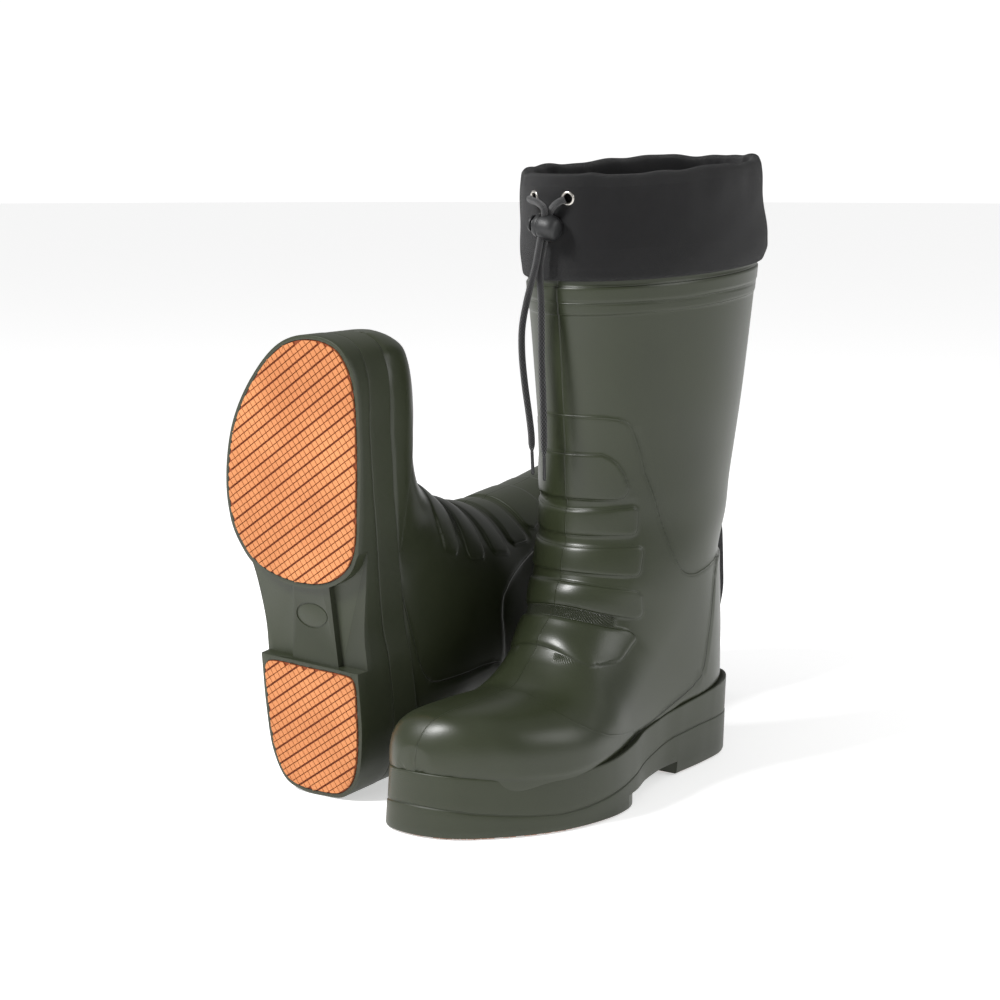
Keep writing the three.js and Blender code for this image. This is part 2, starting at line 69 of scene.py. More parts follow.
world = bpy.data.worlds.new("studio_room")
world.use_nodes = True
room_tree = world.node_tree
lit_room = room_tree.nodes["Background"]
seen_room = room_tree.nodes.new("ShaderNodeBackground")
for background, strength in ((lit_room, ROOM_LIGHT), (seen_room, ROOM_SEEN)):
    background.inputs["Color"].default_value = (1, 1, 1, 1)
    background.inputs["Strength"].default_value = strength
ray = room_tree.nodes.new("ShaderNodeLightPath")
either = room_tree.nodes.new("ShaderNodeMixShader")
for source, target in (
    (ray.outputs["Is Camera Ray"], either.inputs[0]), (lit_room.outputs[0], either.inputs[1]),
    (seen_room.outputs[0], either.inputs[2]),
    (either.outputs[0], room_tree.nodes["World Output"].inputs["Surface"]),
):
    room_tree.links.new(source, target)
bpy.context.scene.world = world


def studio_light(name, place, aim, size, power):
    data = bpy.data.lights.new(name, "AREA")
    data.shape = "DISK"
    data.size = size
    data.energy = power
    light = bpy.data.objects.new(name, data)
    light.location = place
    light.rotation_euler = (Vector(aim) - Vector(place)).to_track_quat("-Z", "Y").to_euler()
    bpy.context.scene.collection.objects.link(light)


studio_light("light_high_left", (-0.7, -1.5, 1.7), (-0.02, 0, 0.15), 0.6, 60)
studio_light("light_right", (1.6, 0.5, 1.0), (0, 0.05, 0.2), 1.0, 9)

bm = bmesh.new()
bmesh.ops.create_circle(bm, cap_ends=True, segments=96, radius=14)
floor_mesh = bpy.data.meshes.new("studio_floor")
bm.to_mesh(floor_mesh)
bm.free()
floor = bpy.data.objects.new("studio_floor", floor_mesh)
bpy.context.scene.collection.objects.link(floor)
floor_paint = bpy.data.materials.new("floor_paint")
floor_paint.use_nodes = True
floor_shader = floor_paint.node_tree.nodes["Principled BSDF"]
for label, value in (
    ("Base Color", (0.95, 0.95, 0.95, 1)), ("Emission Color", (1, 1, 1, 1)),
    ("Emission Strength", FLOOR_GLOW), ("Roughness", 0.9), ("Specular IOR Level", 0.1),
):
    floor_shader.inputs[label].default_value = value
floor_mesh.materials.append(floor_paint)

# ---- drawcord ----
# A black braided polyester cord, 4.4 mm thick. It runs round the cuff's hem, comes out of both
# eyelets, passes through the cord lock and hangs in two free ends, each fused to a thin hard tip.
# Lengths here and below are in millimetres; forward is from the back of the heel to the toe.
MM = 0.001
BALL_POINT = 215  # heel to the point under the ball of the foot, which is the origin
CORD_RADIUS = 2.2
TIP_LENGTH = 16
TIP_GAP = 0.3
# The tip's shape: the share of its length and the radius there.
TIP_SHAPE = [(-0.2, 1.0), (0, 1.1), (0.03, 0.95), (0.1, 1.05), (0.9, 1.1), (0.97, 0.9), (1, 0.5)]
CORD_BLACK = (6, 6, 7), (28, 28, 30)
HEM_LEVEL = 40
EYELET_SEAT = 2.9
EYELET_SHIFT = 0.09
EYELET_SPREAD = 0.205
STRANDS = {
    "inner": [
        (-13.5, 4.5, -0.6), (-9.5, 7.6, -1.6), (-2.5, 11, -2.8), (3.4, 12.9, -6.4), (3.8, 13, -11.5),
        (2.5, 13, -17.6), (0.8, 13, -25.6), (-0.9, 13, -33.6), (-2.6, 13, -41.6), (-6.2, 12.4, -52),
        (-11, 11.4, -66), (-15, 10.4, -82), (-15.6, 9.8, -98), (-13.6, 9.4, -118), (-10.8, 9, -136),
        (-9, 8.6, -150), (-8.6, 8.4, -160),
    ],
    "outer": [
        (13.5, 4.5, -0.6), (10.6, 6.6, -2.2), (7.2, 7.7, -5), (4.9, 8.1, -8.4), (3.8, 8.1, -11.5),
        (2.5, 8.1, -17.6), (0.8, 8.1, -25.6), (-0.9, 8.1, -33.6), (-2.6, 8.1, -41.6),
        (-2.8, 8.2, -52), (-1.6, 8.6, -66), (-1, 9, -84), (-0.6, 9.2, -104), (0.4, 9.2, -124),
        (1, 9, -144), (1.2, 8.8, -163),
    ],
}
# A station is a plane through a line parallel to x: the line's forward place and height, the
# plane's slope in degrees, the distances to the near side, the widest place and the far side, the
# middle in x, the half-width, and the roundness of the near and far halves.
TOP_STATION = (215, 346, -3.2, 40.5, 137, 238, 1.8, 66, 2, 2)


def station_ring(station, depth, turns):
    """Points of the shell's outside at a station, moved inwards by a depth."""
    forward, level, slope, near, wide, far, middle_x, half, near_round, far_round = station
    sine, cosine = np.sin(turns), np.cos(turns)
    roundness = np.where(sine > 0, near_round, far_round)
    reach = np.where(sine > 0, wide - near, far - wide) - depth
    distance = wide - reach * np.sign(sine) * np.abs(sine) ** (2 / roundness)
    x = middle_x + np.maximum(half - depth, 0.5) * np.sign(cosine) * np.abs(cosine) ** (2 / roundness)
    angle = math.radians(slope)
    y = BALL_POINT - forward + distance * math.cos(angle)
    return np.stack([x, y, level - distance * math.sin(angle)], axis=-1)


CUFF_UP = np.array([0, math.sin(math.radians(TOP_STATION[2])), math.cos(math.radians(TOP_STATION[2]))])


def cuff_point(turn, offset, height):
    turns = np.atleast_1d(np.asarray(turn, float))
    return station_ring(TOP_STATION, -offset, turns) + CUFF_UP * np.atleast_1d(height)[..., None]


def eyelet_frame(side):
    """The middle of an eyelet's seat on the cuff, and its axis pointing outwards."""
    turn = math.pi / 2 + EYELET_SHIFT - side * EYELET_SPREAD
    seat = cuff_point(turn, EYELET_SEAT, HEM_LEVEL)[0]
    ahead, behind = (cuff_point(turn + s, EYELET_SEAT, HEM_LEVEL)[0] for s in (0.01, -0.01))
    axis = np.cross(CUFF_UP, ahead - behind)
    axis /= np.linalg.norm(axis)
    return seat, axis if axis[1] < 0 else -axis


eyelet_middle = (eyelet_frame(-1)[0] + eyelet_frame(1)[0]) / 2


def spline_rows(rows, steps):
    """Centripetal spline through rows of points, with its own number of steps for each span."""
    rows = np.asarray(rows, float)
    known = np.concatenate([2 * rows[:1] - rows[1:2], rows, 2 * rows[-1:] - rows[-2:-1]])
    dense = []
    for k in range(len(rows) - 1):
        p = known[k : k + 4]
        gaps = np.maximum(np.linalg.norm(np.diff(p, axis=0), axis=-1, keepdims=True), 1e-6) ** 0.5
        t0 = np.zeros_like(gaps[0])
        t1, t2, t3 = t0 + gaps[0], t0 + gaps[0] + gaps[1], t0 + gaps[0] + gaps[1] + gaps[2]
        for s in range(steps[k]):
            t = t1 + (t2 - t1) * s / steps[k]
            a1 = ((t1 - t) * p[0] + (t - t0) * p[1]) / (t1 - t0)
            a2 = ((t2 - t) * p[1] + (t - t1) * p[2]) / (t2 - t1)
            a3 = ((t3 - t) * p[2] + (t - t2) * p[3]) / (t3 - t2)
            b1 = ((t2 - t) * a1 + (t - t0) * a2) / (t2 - t0)
            b2 = ((t3 - t) * a2 + (t - t1) * a3) / (t3 - t1)
            dense.append(((t2 - t) * b1 + (t - t1) * b2) / (t2 - t1))
    return np.array(dense + [rows[-1]])


def add_piece(name, mesh, finish=None):
    piece = bpy.data.objects.new(name, mesh)
    bpy.context.scene.collection.objects.link(piece)
    if finish:
        mesh.materials.append(finish)
    return piece


def heal(bm, gap):
    """Merges points closer than a gap, in metres, and turns all faces outwards."""
    bmesh.ops.remove_doubles(bm, verts=bm.verts, dist=gap)
    bmesh.ops.recalc_face_normals(bm, faces=bm.faces)


def smooth_faces(bm):
    for face in bm.faces:
        face.smooth = True


def finished(bm, name):
    """The bmesh as a new mesh."""
    mesh = bpy.data.meshes.new(name)
    bm.to_mesh(mesh)
    bm.free()
    return mesh


def skin(name, rows, uv_size=(1, 1), marks=None):
    """A skin over rows of points, merged where its edges or ends meet. Marks are named numbers
    kept on the points, and uv_size is the size in metres that the pattern map spans."""
    count, sides = rows.shape[:2]
    bm = bmesh.new()
    bm.loops.layers.uv.new("map")
    bmesh.ops.create_grid(bm, x_segments=sides - 1, y_segments=count - 1, size=1, calc_uvs=True)
    mesh = finished(bm, name)
    flat = np.empty(3 * len(mesh.vertices))
    mesh.vertices.foreach_get("co", flat)
    flat = flat.reshape(-1, 3)
    column = np.rint((flat[:, 0] + 1) / 2 * (sides - 1)).astype(int)
    row = np.rint((flat[:, 1] + 1) / 2 * (count - 1)).astype(int)
    mesh.vertices.foreach_set("co", (rows[row, column] * MM).ravel())
    for label, values in (marks or {}).items():
        mark = mesh.attributes.new(label, "FLOAT", "POINT")
        mark.data.foreach_set("value", values[row, column].astype(np.float32))
    uv = np.empty(2 * len(mesh.loops))
    mesh.uv_layers["map"].data.foreach_get("uv", uv)
    uv = uv.reshape(-1, 2) * np.array(uv_size)
    mesh.uv_layers["map"].data.foreach_set("uv", uv.ravel())
    bm = bmesh.new()
    bm.from_mesh(mesh)
    heal(bm, 1e-7)
    smooth_faces(bm)
    bm.to_mesh(mesh)
    bm.free()
    return mesh


def tube_rows(path, radii, sides):
    """Rings round a path, closed to a point at both ends, carried along without twisting."""
    path = np.asarray(path, float)
    ways = np.gradient(path, axis=0)
    ways /= np.linalg.norm(ways, axis=1, keepdims=True)
    turns = np.linspace(0, 2 * math.pi, sides + 1)
    side = np.cross(ways[0], [0, 1, 0.2])
    rings = []
    for point, way, radius in zip(path, ways, radii):
        side = side - way * side.dot(way)
        side /= np.linalg.norm(side)
        across = np.cross(way, side)
        rings.append(
            point + radius * (np.cos(turns)[:, None] * side + np.sin(turns)[:, None] * across)
        )
    caps = [np.repeat(end[None, None], sides + 1, 1) for end in (path[0], path[-1])]
    return np.concatenate([caps[0], rings, caps[1]])


def feed(tree, socket, value):
    """Gives a socket a constant or another node's output."""
    if isinstance(value, bpy.types.NodeSocket):
        tree.links.new(value, socket)
    else:
        socket.default_value = value


def add_node(tree, kind, settings=None, **sockets):
    """A shader node; a socket named _1 is the one at place 1."""
    made = tree.nodes.new(kind)
    for label, value in (settings or {}).items():
        setattr(made, label, value)
    for label, value in sockets.items():
        key = int(label[1:]) if label[0] == "_" else label.replace("_", " ")
        feed(tree, made.inputs[key], value)
    return made


def math_node(tree, operation, a, b=0.0, c=0.0):
    made = add_node(tree, "ShaderNodeMath", {"operation": operation}, _0=a, _1=b)
    if operation == "MULTIPLY_ADD":
        feed(tree, made.inputs[2], c)
    return made.outputs[0]


def object_place(tree):
    return add_node(tree, "ShaderNodeTexCoord").outputs["Object"]


def pattern_map(tree):
    return add_node(tree, "ShaderNodeUVMap", {"uv_map": "map"}).outputs["UV"]


def noise(tree, place, scale, detail, **more):
    return add_node(
        tree, "ShaderNodeTexNoise", Vector=place, Scale=scale, Detail=detail, **more
    ).outputs[0]


def remap(tree, value, low, high, to_low=0.0, to_high=1.0):
    made = add_node(
        tree, "ShaderNodeMapRange", {"interpolation_type": "SMOOTHSTEP"},
        Value=value, From_Min=low, From_Max=high, To_Min=to_low, To_Max=to_high,
    )
    return made.outputs["Result"]


def mix_colour(tree, amount, first, second):
    made = add_node(tree, "ShaderNodeMix", {"data_type": "RGBA"}, _0=amount, _6=first, _7=second)
    return made.outputs[2]


def linear(red, green, blue):
    """A display colour from 0 to 255 as the shader's linear colour."""
    parts = [v / 255 for v in (red, green, blue)]
    parts = [v / 12.92 if v <= 0.04045 else ((v + 0.055) / 1.055) ** 2.4 for v in parts]
    return (*parts, 1)


def paint(tree, shader, amount, first, second):
    """The shader's colour runs between two display colours."""
    mixed = mix_colour(tree, amount, linear(*first), linear(*second))
    tree.links.new(mixed, shader.inputs["Base Color"])


def new_finish(name, roughness, metallic=0.0, specular=0.5):
    finish = bpy.data.materials.new(name)
    finish.use_nodes = True
    tree = finish.node_tree
    shader = tree.nodes["Principled BSDF"]
    shader.inputs["Roughness"].default_value = roughness
    shader.inputs["Metallic"].default_value = metallic
    shader.inputs["Specular IOR Level"].default_value = specular
    return finish, tree, shader


def new_effect(name, inputs, outputs):
    """An empty node group: inputs are (name, default), outputs are (name, kind)."""
    group = bpy.data.node_groups.new(name, "ShaderNodeTree")
    for label, value in inputs:
        kind = "NodeSocketVector" if value is None else "NodeSocketFloat"
        socket = group.interface.new_socket(label, in_out="INPUT", socket_type=kind)
        if value is not None:
            socket.default_value = value
    for label in outputs:
        group.interface.new_socket(label, in_out="OUTPUT", socket_type="NodeSocketFloat")
    return group, group.nodes.new("NodeGroupInput").outputs, group.nodes.new("NodeGroupOutput")


def place_effect(tree, group, **values):
    made = tree.nodes.new("ShaderNodeGroup")
    made.node_tree = group
    for label, value in values.items():
        feed(tree, made.inputs[label], value)
    return made.outputs


def bump_to(tree, shader, height, depth):
    bump = add_node(tree, "ShaderNodeBump", Height=height, Strength=1.0, Distance=depth)
    tree.links.new(bump.outputs["Normal"], shader.inputs["Normal"])


# Braid: two sets of flat strands cross over each other round the cord. Its tone is fibre fuzz plus painted
# shade, lighter on the strands' crests and darker in the hollows between them.
braid, taken, given = new_effect(
    "cord_braid", [("Pattern", None), ("Strands", 8.0), ("Pitch", 250.0)], ["Height", "Tone"]
)
parts = add_node(braid, "ShaderNodeSeparateXYZ", Vector=taken["Pattern"]).outputs
around = math_node(braid, "MULTIPLY", parts["X"], taken["Strands"])
along = math_node(braid, "MULTIPLY", parts["Y"], taken["Pitch"])
ridges = []
for operation in ("ADD", "SUBTRACT"):
    wave = math_node(braid, "MULTIPLY", math_node(braid, operation, around, along), 2 * math.pi)
    ridges.append(math_node(braid, "ABSOLUTE", math_node(braid, "SINE", wave)))
braid_height = math_node(braid, "MULTIPLY", ridges[0], ridges[1])
fuzz = noise(braid, taken["Pattern"], 900.0, 3.0)
braid.links.new(braid_height, given.inputs["Height"])
# The tone adds the strands' height as painted shade.
braid.links.new(math_node(braid, "MULTIPLY_ADD", fuzz, 0.5, braid_height), given.inputs["Tone"])

cord_finish, tree, shader = new_finish("braided_cord", 0.85, specular=0.3)
shader.inputs["Sheen Weight"].default_value = 0.35
shader.inputs["Sheen Roughness"].default_value = 0.5
made = place_effect(tree, braid, Pattern=pattern_map(tree), Strands=4.0, Pitch=330.0)
# The cord's colour follows the braid's tone, painted shade between the strands included.
paint(tree, shader, remap(tree, made["Tone"], 0.15, 1.2), *CORD_BLACK)
bump_to(tree, shader, made["Height"], 0.0005)

tip_finish, tree, shader = new_finish("fused_cord_end", 0.4)
grain = noise(tree, object_place(tree), 1400.0, 2.0)
paint(tree, shader, grain, (14, 14, 15), (34, 34, 36))
bump_to(tree, shader, grain, 0.0001)

for side, route in STRANDS.items():
    path = [eyelet_middle + np.array([x, -ahead, up]) for x, ahead, up in route]
    end, way = path[-1], path[-1] - path[-2]
    way = way / np.linalg.norm(way)
    line = spline_rows(np.array(path), [6] * (len(path) - 1))
    length = np.linalg.norm(np.diff(line, axis=0), axis=1).sum()
    radii = np.full(len(line), CORD_RADIUS)
    radii[-3:] = 2.1, 1.8, 1.3
    name = "drawcord_strand_" + side
    rows = tube_rows(line, radii, 16)
    strand = add_piece(name, skin(name, rows, (1, length * MM)), cord_finish)
    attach(strand, "standing_boot")
    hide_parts("standing_strand_" + side)
    start = end + way * TIP_GAP
    tip_line = np.array([start + way * (share * TIP_LENGTH) for share, radius in TIP_SHAPE])
    name = "drawcord_tip_" + side
    rows = tube_rows(tip_line, [radius for share, radius in TIP_SHAPE], 20)
    tip = add_piece(name, skin(name, rows), tip_finish)
    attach(tip, "standing_boot")
    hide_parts("standing_cord_tip_" + side)

# ---- upper ----
# One closed-cell foam moulding, 8 mm thick, from toe cap to shaft: a raised shin guard with five
# cushion pads, a heel counter, a pull lug at the heel, two bands under the cuff, and the thin flash
# of the mould's parting line down the front. The second boot's upper is its mirror image.
WALL = 8
COLUMNS = 216
STATIONS = [
    (301.5, 150, 90, 101, 116, 132, -22, 5, 2.2, 2.2), (299, 150, 90, 92, 112, 132, -20, 15, 2.4, 3),
    (295, 150, 90, 84, 109, 132, -18.5, 23, 2.5, 3.5),
    (289, 150, 90, 78, 107, 132, -16.5, 30.5, 2.6, 4), (280, 150, 90, 75, 106, 132, -13, 37, 2.6, 4),
    (268, 150, 90, 73.5, 105, 132, -8, 44.5, 2.5, 4), (250, 150, 90, 72, 104, 132, -3, 50, 2.4, 4),
    (232, 150, 90, 70.5, 104, 132, 1, 53, 2.3, 4), (215, 150, 90, 68, 104, 132, 3, 54, 2.2, 4),
    (215, 150, 75, 59, 104, 136.7, 3.5, 52, 2.1, 3.4),
    (215, 150, 60, 51, 104, 152.4, 2, 47.5, 2.1, 2.8),
    (215, 150, 48, 49, 105, 177.6, 0, 46.5, 2.1, 2.6),
    (215, 150, 38, 47, 108, 214, -1, 46.5, 2.1, 2.5),
    (215, 150, 32, 47, 112, 243, -1.5, 47, 2.1, 2.5),
    (215, 150, 20, 46, 120, 220, -1, 50.5, 2.1, 2.3), (215, 150, 10, 47, 122, 204, 0, 53, 2.1, 2.1),
    (215, 150, 0, 49, 123, 198, 0, 54.6, 2, 2), (215, 177, 0, 54, 131, 209, 0, 54.7, 2, 2),
    (215, 198, 0, 53.5, 132.5, 213, 0, 55.2, 2, 2), (215, 225, 0, 52, 135, 220, 0, 56.6, 2, 2),
    (215, 252, -0.7, 49.5, 136, 226, 0.3, 58.8, 2, 2),
    (215, 292, -1.8, 45, 137, 232.5, 0.8, 62, 2, 2),
    (215, 320, -2.6, 41.5, 137, 236, 1.3, 64.3, 2, 2), TOP_STATION,
]
FIRST_LINED = 3  # the first station that the room for the foot reaches
# The midsole ledge: forward place, height, and how far it lies inside the bottom edge.
MIDSOLE_TOP = [
    (0, 56, 0.5), (20, 55, -2.5), (45, 53, -4.5), (92, 49.5, -5), (125, 46, -3.5), (152, 43.5, -0.5),
    (200, 37.5, 2), (240, 34.5, 2.5), (272, 36, 2.5), (305, 40.5, 2.5),
]
ledge_at, ledge_level, ledge_inset = zip(*MIDSOLE_TOP)
# Rows between one station and the next.
ROW_STEPS = [3, 3, 4, 6, 7, 9, 9, 9, 18, 20, 20, 20, 16, 30, 16, 14, 22, 18, 22, 20, 24, 24, 22]
# Edges of the raised areas, as (forward, height) seen from the side.
SHIN_GUARD = [
    (400, 249.6), (164.5, 248.9), (157, 248.6), (151.5, 247.4), (147.4, 244.8), (145.2, 241.6),
    (142.5, 235), (138.9, 224.4), (135.7, 211.1), (131.2, 200.3), (128.3, 192.2), (123.9, 177.3),
    (118.9, 161.1), (115, 153), (108.6, 144.6), (104, 142), (99.6, 141), (92.7, 140.3), (78.4, 142.2),
    (58.2, 146), (30, 150.5), (-60, 156), (-60, -60), (400, -60),
]
HEEL_COUNTER = [
    (58.2, 146), (61.6, 140), (63.1, 133.9), (64, 123.1), (63.6, 111.6), (63.5, 99.2), (63.6, 89.3),
    (64.2, 76.8), (65.5, 70.4), (69.7, 64.8), (76, 61), (85.6, 57.8), (105.5, 53.2), (125.1, 48.4),
    (156, 43.4), (180.5, 39.6), (200, 36), (200, -60), (-60, -60), (-60, 156), (30, 150.5),
]
TOE_CAP = [
    (219, 150), (222, 84), (227.5, 79.9), (231.2, 78.1), (233, 75), (232.4, 71.6), (226, 65.8),
    (213.9, 58.8), (198.9, 53.2), (180.7, 49.6), (160, 47), (160, -60), (400, -60), (400, 150),
]
PARTING = [
    (0, 0), (60, 0), (100, -1), (160.8, -2), (166, -2), (175, -1), (190, -3), (203.7, -5), (222.9, -2.6),
    (247.4, -2.8), (269.6, -5.7), (284.1, -8.3), (291.3, -12.5), (296.1, -15.6), (301.1, -18.6),
    (320, -20.5),
]
# Pads: lowest and highest level on the middle line, how far the lower and upper edges drop for each
# square millimetre sideways, half-width, corner radius and crown.
PADS = [
    (195, 224.3, 0, 0.0005, 35.5, 7, 0.3), (171, 187.4, 0.0004, 0.0018, 39.5, 3.5, 0.8),
    (147.3, 163.5, -0.0014, 0.0002, 43, 4, 0.9), (126.3, 141.2, -0.0052, -0.003, 44, 4.5, 1.3),
    (102, 119.6, -0.0074, -0.0058, 43, 6, 1.6),
]
# How far each area stands out from the foam, or lies in it.
GUARD_RISE, GUARD_GROOVE, COUNTER_RISE, CAP_RISE = 0.75, 0.5, 1.1, 0.35
PAD_RISE, PAD_VALLEY, LUG_RISE, LEDGE_RECESS = 0.95, 0.55, 2.3, 0.9
# The bands under the cuff: rise, then where the lower and the upper edge begin and are full.
BANDS = [(1.15, 321.4, 322.6, 332.8, 331.4), (0.65, 314, 315, 321.6, 320.6)]
BAND_SLOPE = 0.061
TOP_PAD_SIDE = [(195, 35.5), (203, 36), (212, 34), (219, 31), (224.3, 27)]  # (level, half-width)


def ramp(low, high, value):
    share = np.clip((value - low) / (high - low), 0, 1)
    return share * share * (3 - 2 * share)


def inside_by(outline, across, up):
    """How far each point lies inside an outline, negative outside it."""
    nearest = np.full(across.shape, 1e9)
    inside = np.zeros(across.shape, bool)
    for (a, b), (c, d) in zip(outline, outline[1:] + outline[:1]):
        share = np.clip(
            ((across - a) * (c - a) + (up - b) * (d - b)) / ((c - a) ** 2 + (d - b) ** 2), 0, 1
        )
        gap = np.hypot(across - a - share * (c - a), up - b - share * (d - b))
        nearest = np.minimum(nearest, gap)
        if b != d:
            crosses = ((b > up) != (d > up)) & (across < (c - a) * (up - b) / (d - b) + a)
            inside ^= crosses
    return np.where(inside, nearest, -nearest)


def grid_normals(rows):
    """Outward normals of rows of rings; the last column repeats the first."""
    down = np.gradient(rows, axis=0)
    wrapped = np.concatenate([rows[:, -2:-1], rows, rows[:, 1:2]], axis=1)
    around = wrapped[:, 2:] - wrapped[:, :-2]
    normals = np.cross(around, down)
    size = np.linalg.norm(normals, axis=-1, keepdims=True)
    normals = normals / np.maximum(size, 1e-9)
    middle_ring = rows[len(rows) // 2]
    if ((middle_ring - middle_ring.mean(0)) * normals[len(rows) // 2]).sum() < 0:
        normals = -normals
    return normals


even = np.linspace(0, 2 * math.pi, COLUMNS + 1)
TURNS = even + 0.3 * np.cos(even)  # closer together at the front


def lofted(depth, first, steps, turns):
    rings = np.array([station_ring(s, depth, turns) for s in STATIONS[first:]])
    return spline_rows(rings, steps)


def pole(ring):
    return np.repeat(ring.mean(0, keepdims=True), len(ring), 0)[None]


outside = lofted(0, 0, ROW_STEPS, TURNS)
forward = BALL_POINT - outside[..., 1]
height = outside[..., 2]
beside = outside[..., 0] - np.interp(forward, *zip(*PARTING))
front_face = ramp(0.15, 0.5, np.sin(TURNS))[None, :] * ramp(92, 100, height)

guard = inside_by(SHIN_GUARD, forward, height)
counter = inside_by(HEEL_COUNTER, forward, height)
cap = inside_by(TOE_CAP, forward, height)
rise = GUARD_RISE * ramp(-0.7, 0.9, guard)
rise -= GUARD_GROOVE * np.exp(-((guard + 1.5) / 2.5) ** 2) * ramp(158, 176, height) * ramp(244, 236, height)
rise += COUNTER_RISE * ramp(-0.6, 1.0, counter) * ramp(0, 3, guard + 2)
rise += CAP_RISE * ramp(-1.2, 1.6, cap)
pad_edge = np.full(height.shape, -50.0)
for at, (low, high, low_drop, high_drop, half, corner, crown) in enumerate(PADS):
    low_edge = low + low_drop * beside**2
    high_edge = high + high_drop * beside**2
    if at == 0:
        half = np.interp(height, *zip(*TOP_PAD_SIDE))
    over_x = (np.abs(beside) - half) * 1.5 + corner
    over_z = np.abs(height - (low_edge + high_edge) / 2) - (high_edge - low_edge) / 2 + corner
    edge = corner - np.hypot(np.maximum(over_x, 0), np.maximum(over_z, 0))
    edge -= np.minimum(np.maximum(over_x, over_z), 0)
    edge = np.where(front_face > 0.01, edge, -50)
    across_pad = np.clip(1 - np.abs(beside / (half + 1)) ** 4, 0, 1)
    along_pad = np.clip(
        1 - ((height - (low_edge + high_edge) / 2) / ((high_edge - low_edge) / 2 + 0.5)) ** 2, 0, 1
    )
    rise += PAD_RISE * ramp(-0.5, 0.6, edge) + crown * across_pad * along_pad * ramp(0, 2, edge)
    pad_edge = np.maximum(pad_edge, edge)
between = ramp(-0.4, -1.4, pad_edge) * ramp(101, 104, height) * ramp(196, 193, height)
rise -= PAD_VALLEY * between * ramp(41, 37, np.abs(beside)) * front_face
level = height - BAND_SLOPE * (171.6 - forward)
for band_rise, low, low_full, high, high_full in BANDS:
    rise += band_rise * ramp(low, low_full, level) * ramp(high, high_full, level)
lug = ramp(18.2, 16.6, np.abs(outside[..., 0] + 1)) * ramp(9.8, 8.6, np.abs(height - 74))
rise += LUG_RISE * lug * ramp(40, 30, forward)
rise[:2] = 0
over_ledge = height - np.interp(forward, ledge_at, ledge_level)
rise -= LEDGE_RECESS * ramp(2.6, 0.4, over_ledge)
hatch = ramp(0.2, -0.6, pad_edge) * ramp(37, 33, np.abs(beside)) * front_face
hatch_low = 119.6 - 0.0058 * beside**2
hatch_high = 126.3 - 0.0052 * beside**2
hatched = ramp(hatch_low, hatch_low + 0.8, height) * ramp(hatch_high, hatch_high - 0.8, height)
low_e = 102 - 0.0074 * beside**2
patch = ramp(low_e - 9, low_e - 7, height) * ramp(low_e - 0.4, low_e - 1.2, height)
patch *= ramp(14, 18, np.abs(beside)) * ramp(40, 34, np.abs(beside)) * 0.7
marks = {
    "parting": beside, "guard": guard, "counter": counter, "cap": cap, "pad": pad_edge,
    "level": level, "ledge": over_ledge - 0.9, "hatch": np.maximum(hatch * hatched, hatch * patch),
    "front": ramp(-0.2, 0.2, np.sin(TURNS))[None, :] * np.ones_like(height),
}
outer_skin = outside + grid_normals(outside) * rise[..., None]
rim = np.array([
    station_ring(TOP_STATION, depth, TURNS) + CUFF_UP * up
    for depth, up in ((0.3, 0.4), (1.2, 0.7), (WALL - 1.2, 0.7), (WALL - 0.3, 0.3))
])
inner = lofted(WALL, FIRST_LINED, [2] * (len(STATIONS) - FIRST_LINED - 1), TURNS)[::-1]
upper_rows = np.concatenate([pole(outer_skin[0]), outer_skin, rim, inner, pole(inner[-1])])
extra = len(upper_rows) - len(outer_skin) - 1
marks = {
    label: np.concatenate([values[:1], values, np.repeat(values[-1:] * 0 - 60, extra, 0)])
    for label, values in marks.items()
}

# Fine mould line: a narrow mask where a distance passes through nought.
thin_line, taken, given = new_effect("thin_line", [("Distance", 0.0), ("Width", 0.5)], ["Mask"])
spread = math_node(
    thin_line, "DIVIDE", math_node(thin_line, "ABSOLUTE", taken["Distance"]), taken["Width"]
)
thin_line.links.new(remap(thin_line, spread, 0.2, 1.0, 1.0, 0.0), given.inputs["Mask"])

# Moulded grain: a leathery fine texture and slow changes of tone from the cooling foam.
grain_group, taken, given = new_effect(
    "moulded_grain", [("Place", None), ("Size", 1.0)], ["Height", "Tone"]
)
scaled = add_node(
    grain_group, "ShaderNodeVectorMath", {"operation": "SCALE"},
    _0=taken["Place"], Scale=taken["Size"],
).outputs[0]
fine = noise(grain_group, scaled, 1500.0, 3.0)
pores = add_node(grain_group, "ShaderNodeTexVoronoi", Vector=scaled, Scale=900.0).outputs["Distance"]
slow = noise(grain_group, scaled, 14.0, 4.0)
for label, first, weight, second in (("Height", pores, 0.45, fine), ("Tone", fine, 0.25, slow)):
    total = math_node(grain_group, "MULTIPLY_ADD", first, weight, second)
    grain_group.links.new(total, given.inputs[label])


def read_mark(tree, label):
    return add_node(
        tree, "ShaderNodeAttribute", {"attribute_name": label, "attribute_type": "GEOMETRY"}
    ).outputs["Fac"]


def add_all(tree, pairs):
    """The sum of values, each times its own weight."""
    total = 0.0
    for value, weight in pairs:
        total = math_node(tree, "MULTIPLY_ADD", value, weight, total)
    return total


# The foam's own slow changes of tone, mixed towards a near-black olive by painted shade.
def foam_colour(tree, shader, tone, painted_shade):
    slow_tone = mix_colour(
        tree, remap(tree, tone, 0.35, 0.85), linear(36, 41, 25), linear(43, 48, 31)
    )
    tree.links.new(
        mix_colour(tree, painted_shade, slow_tone, linear(16, 18, 11)), shader.inputs["Base Color"]
    )


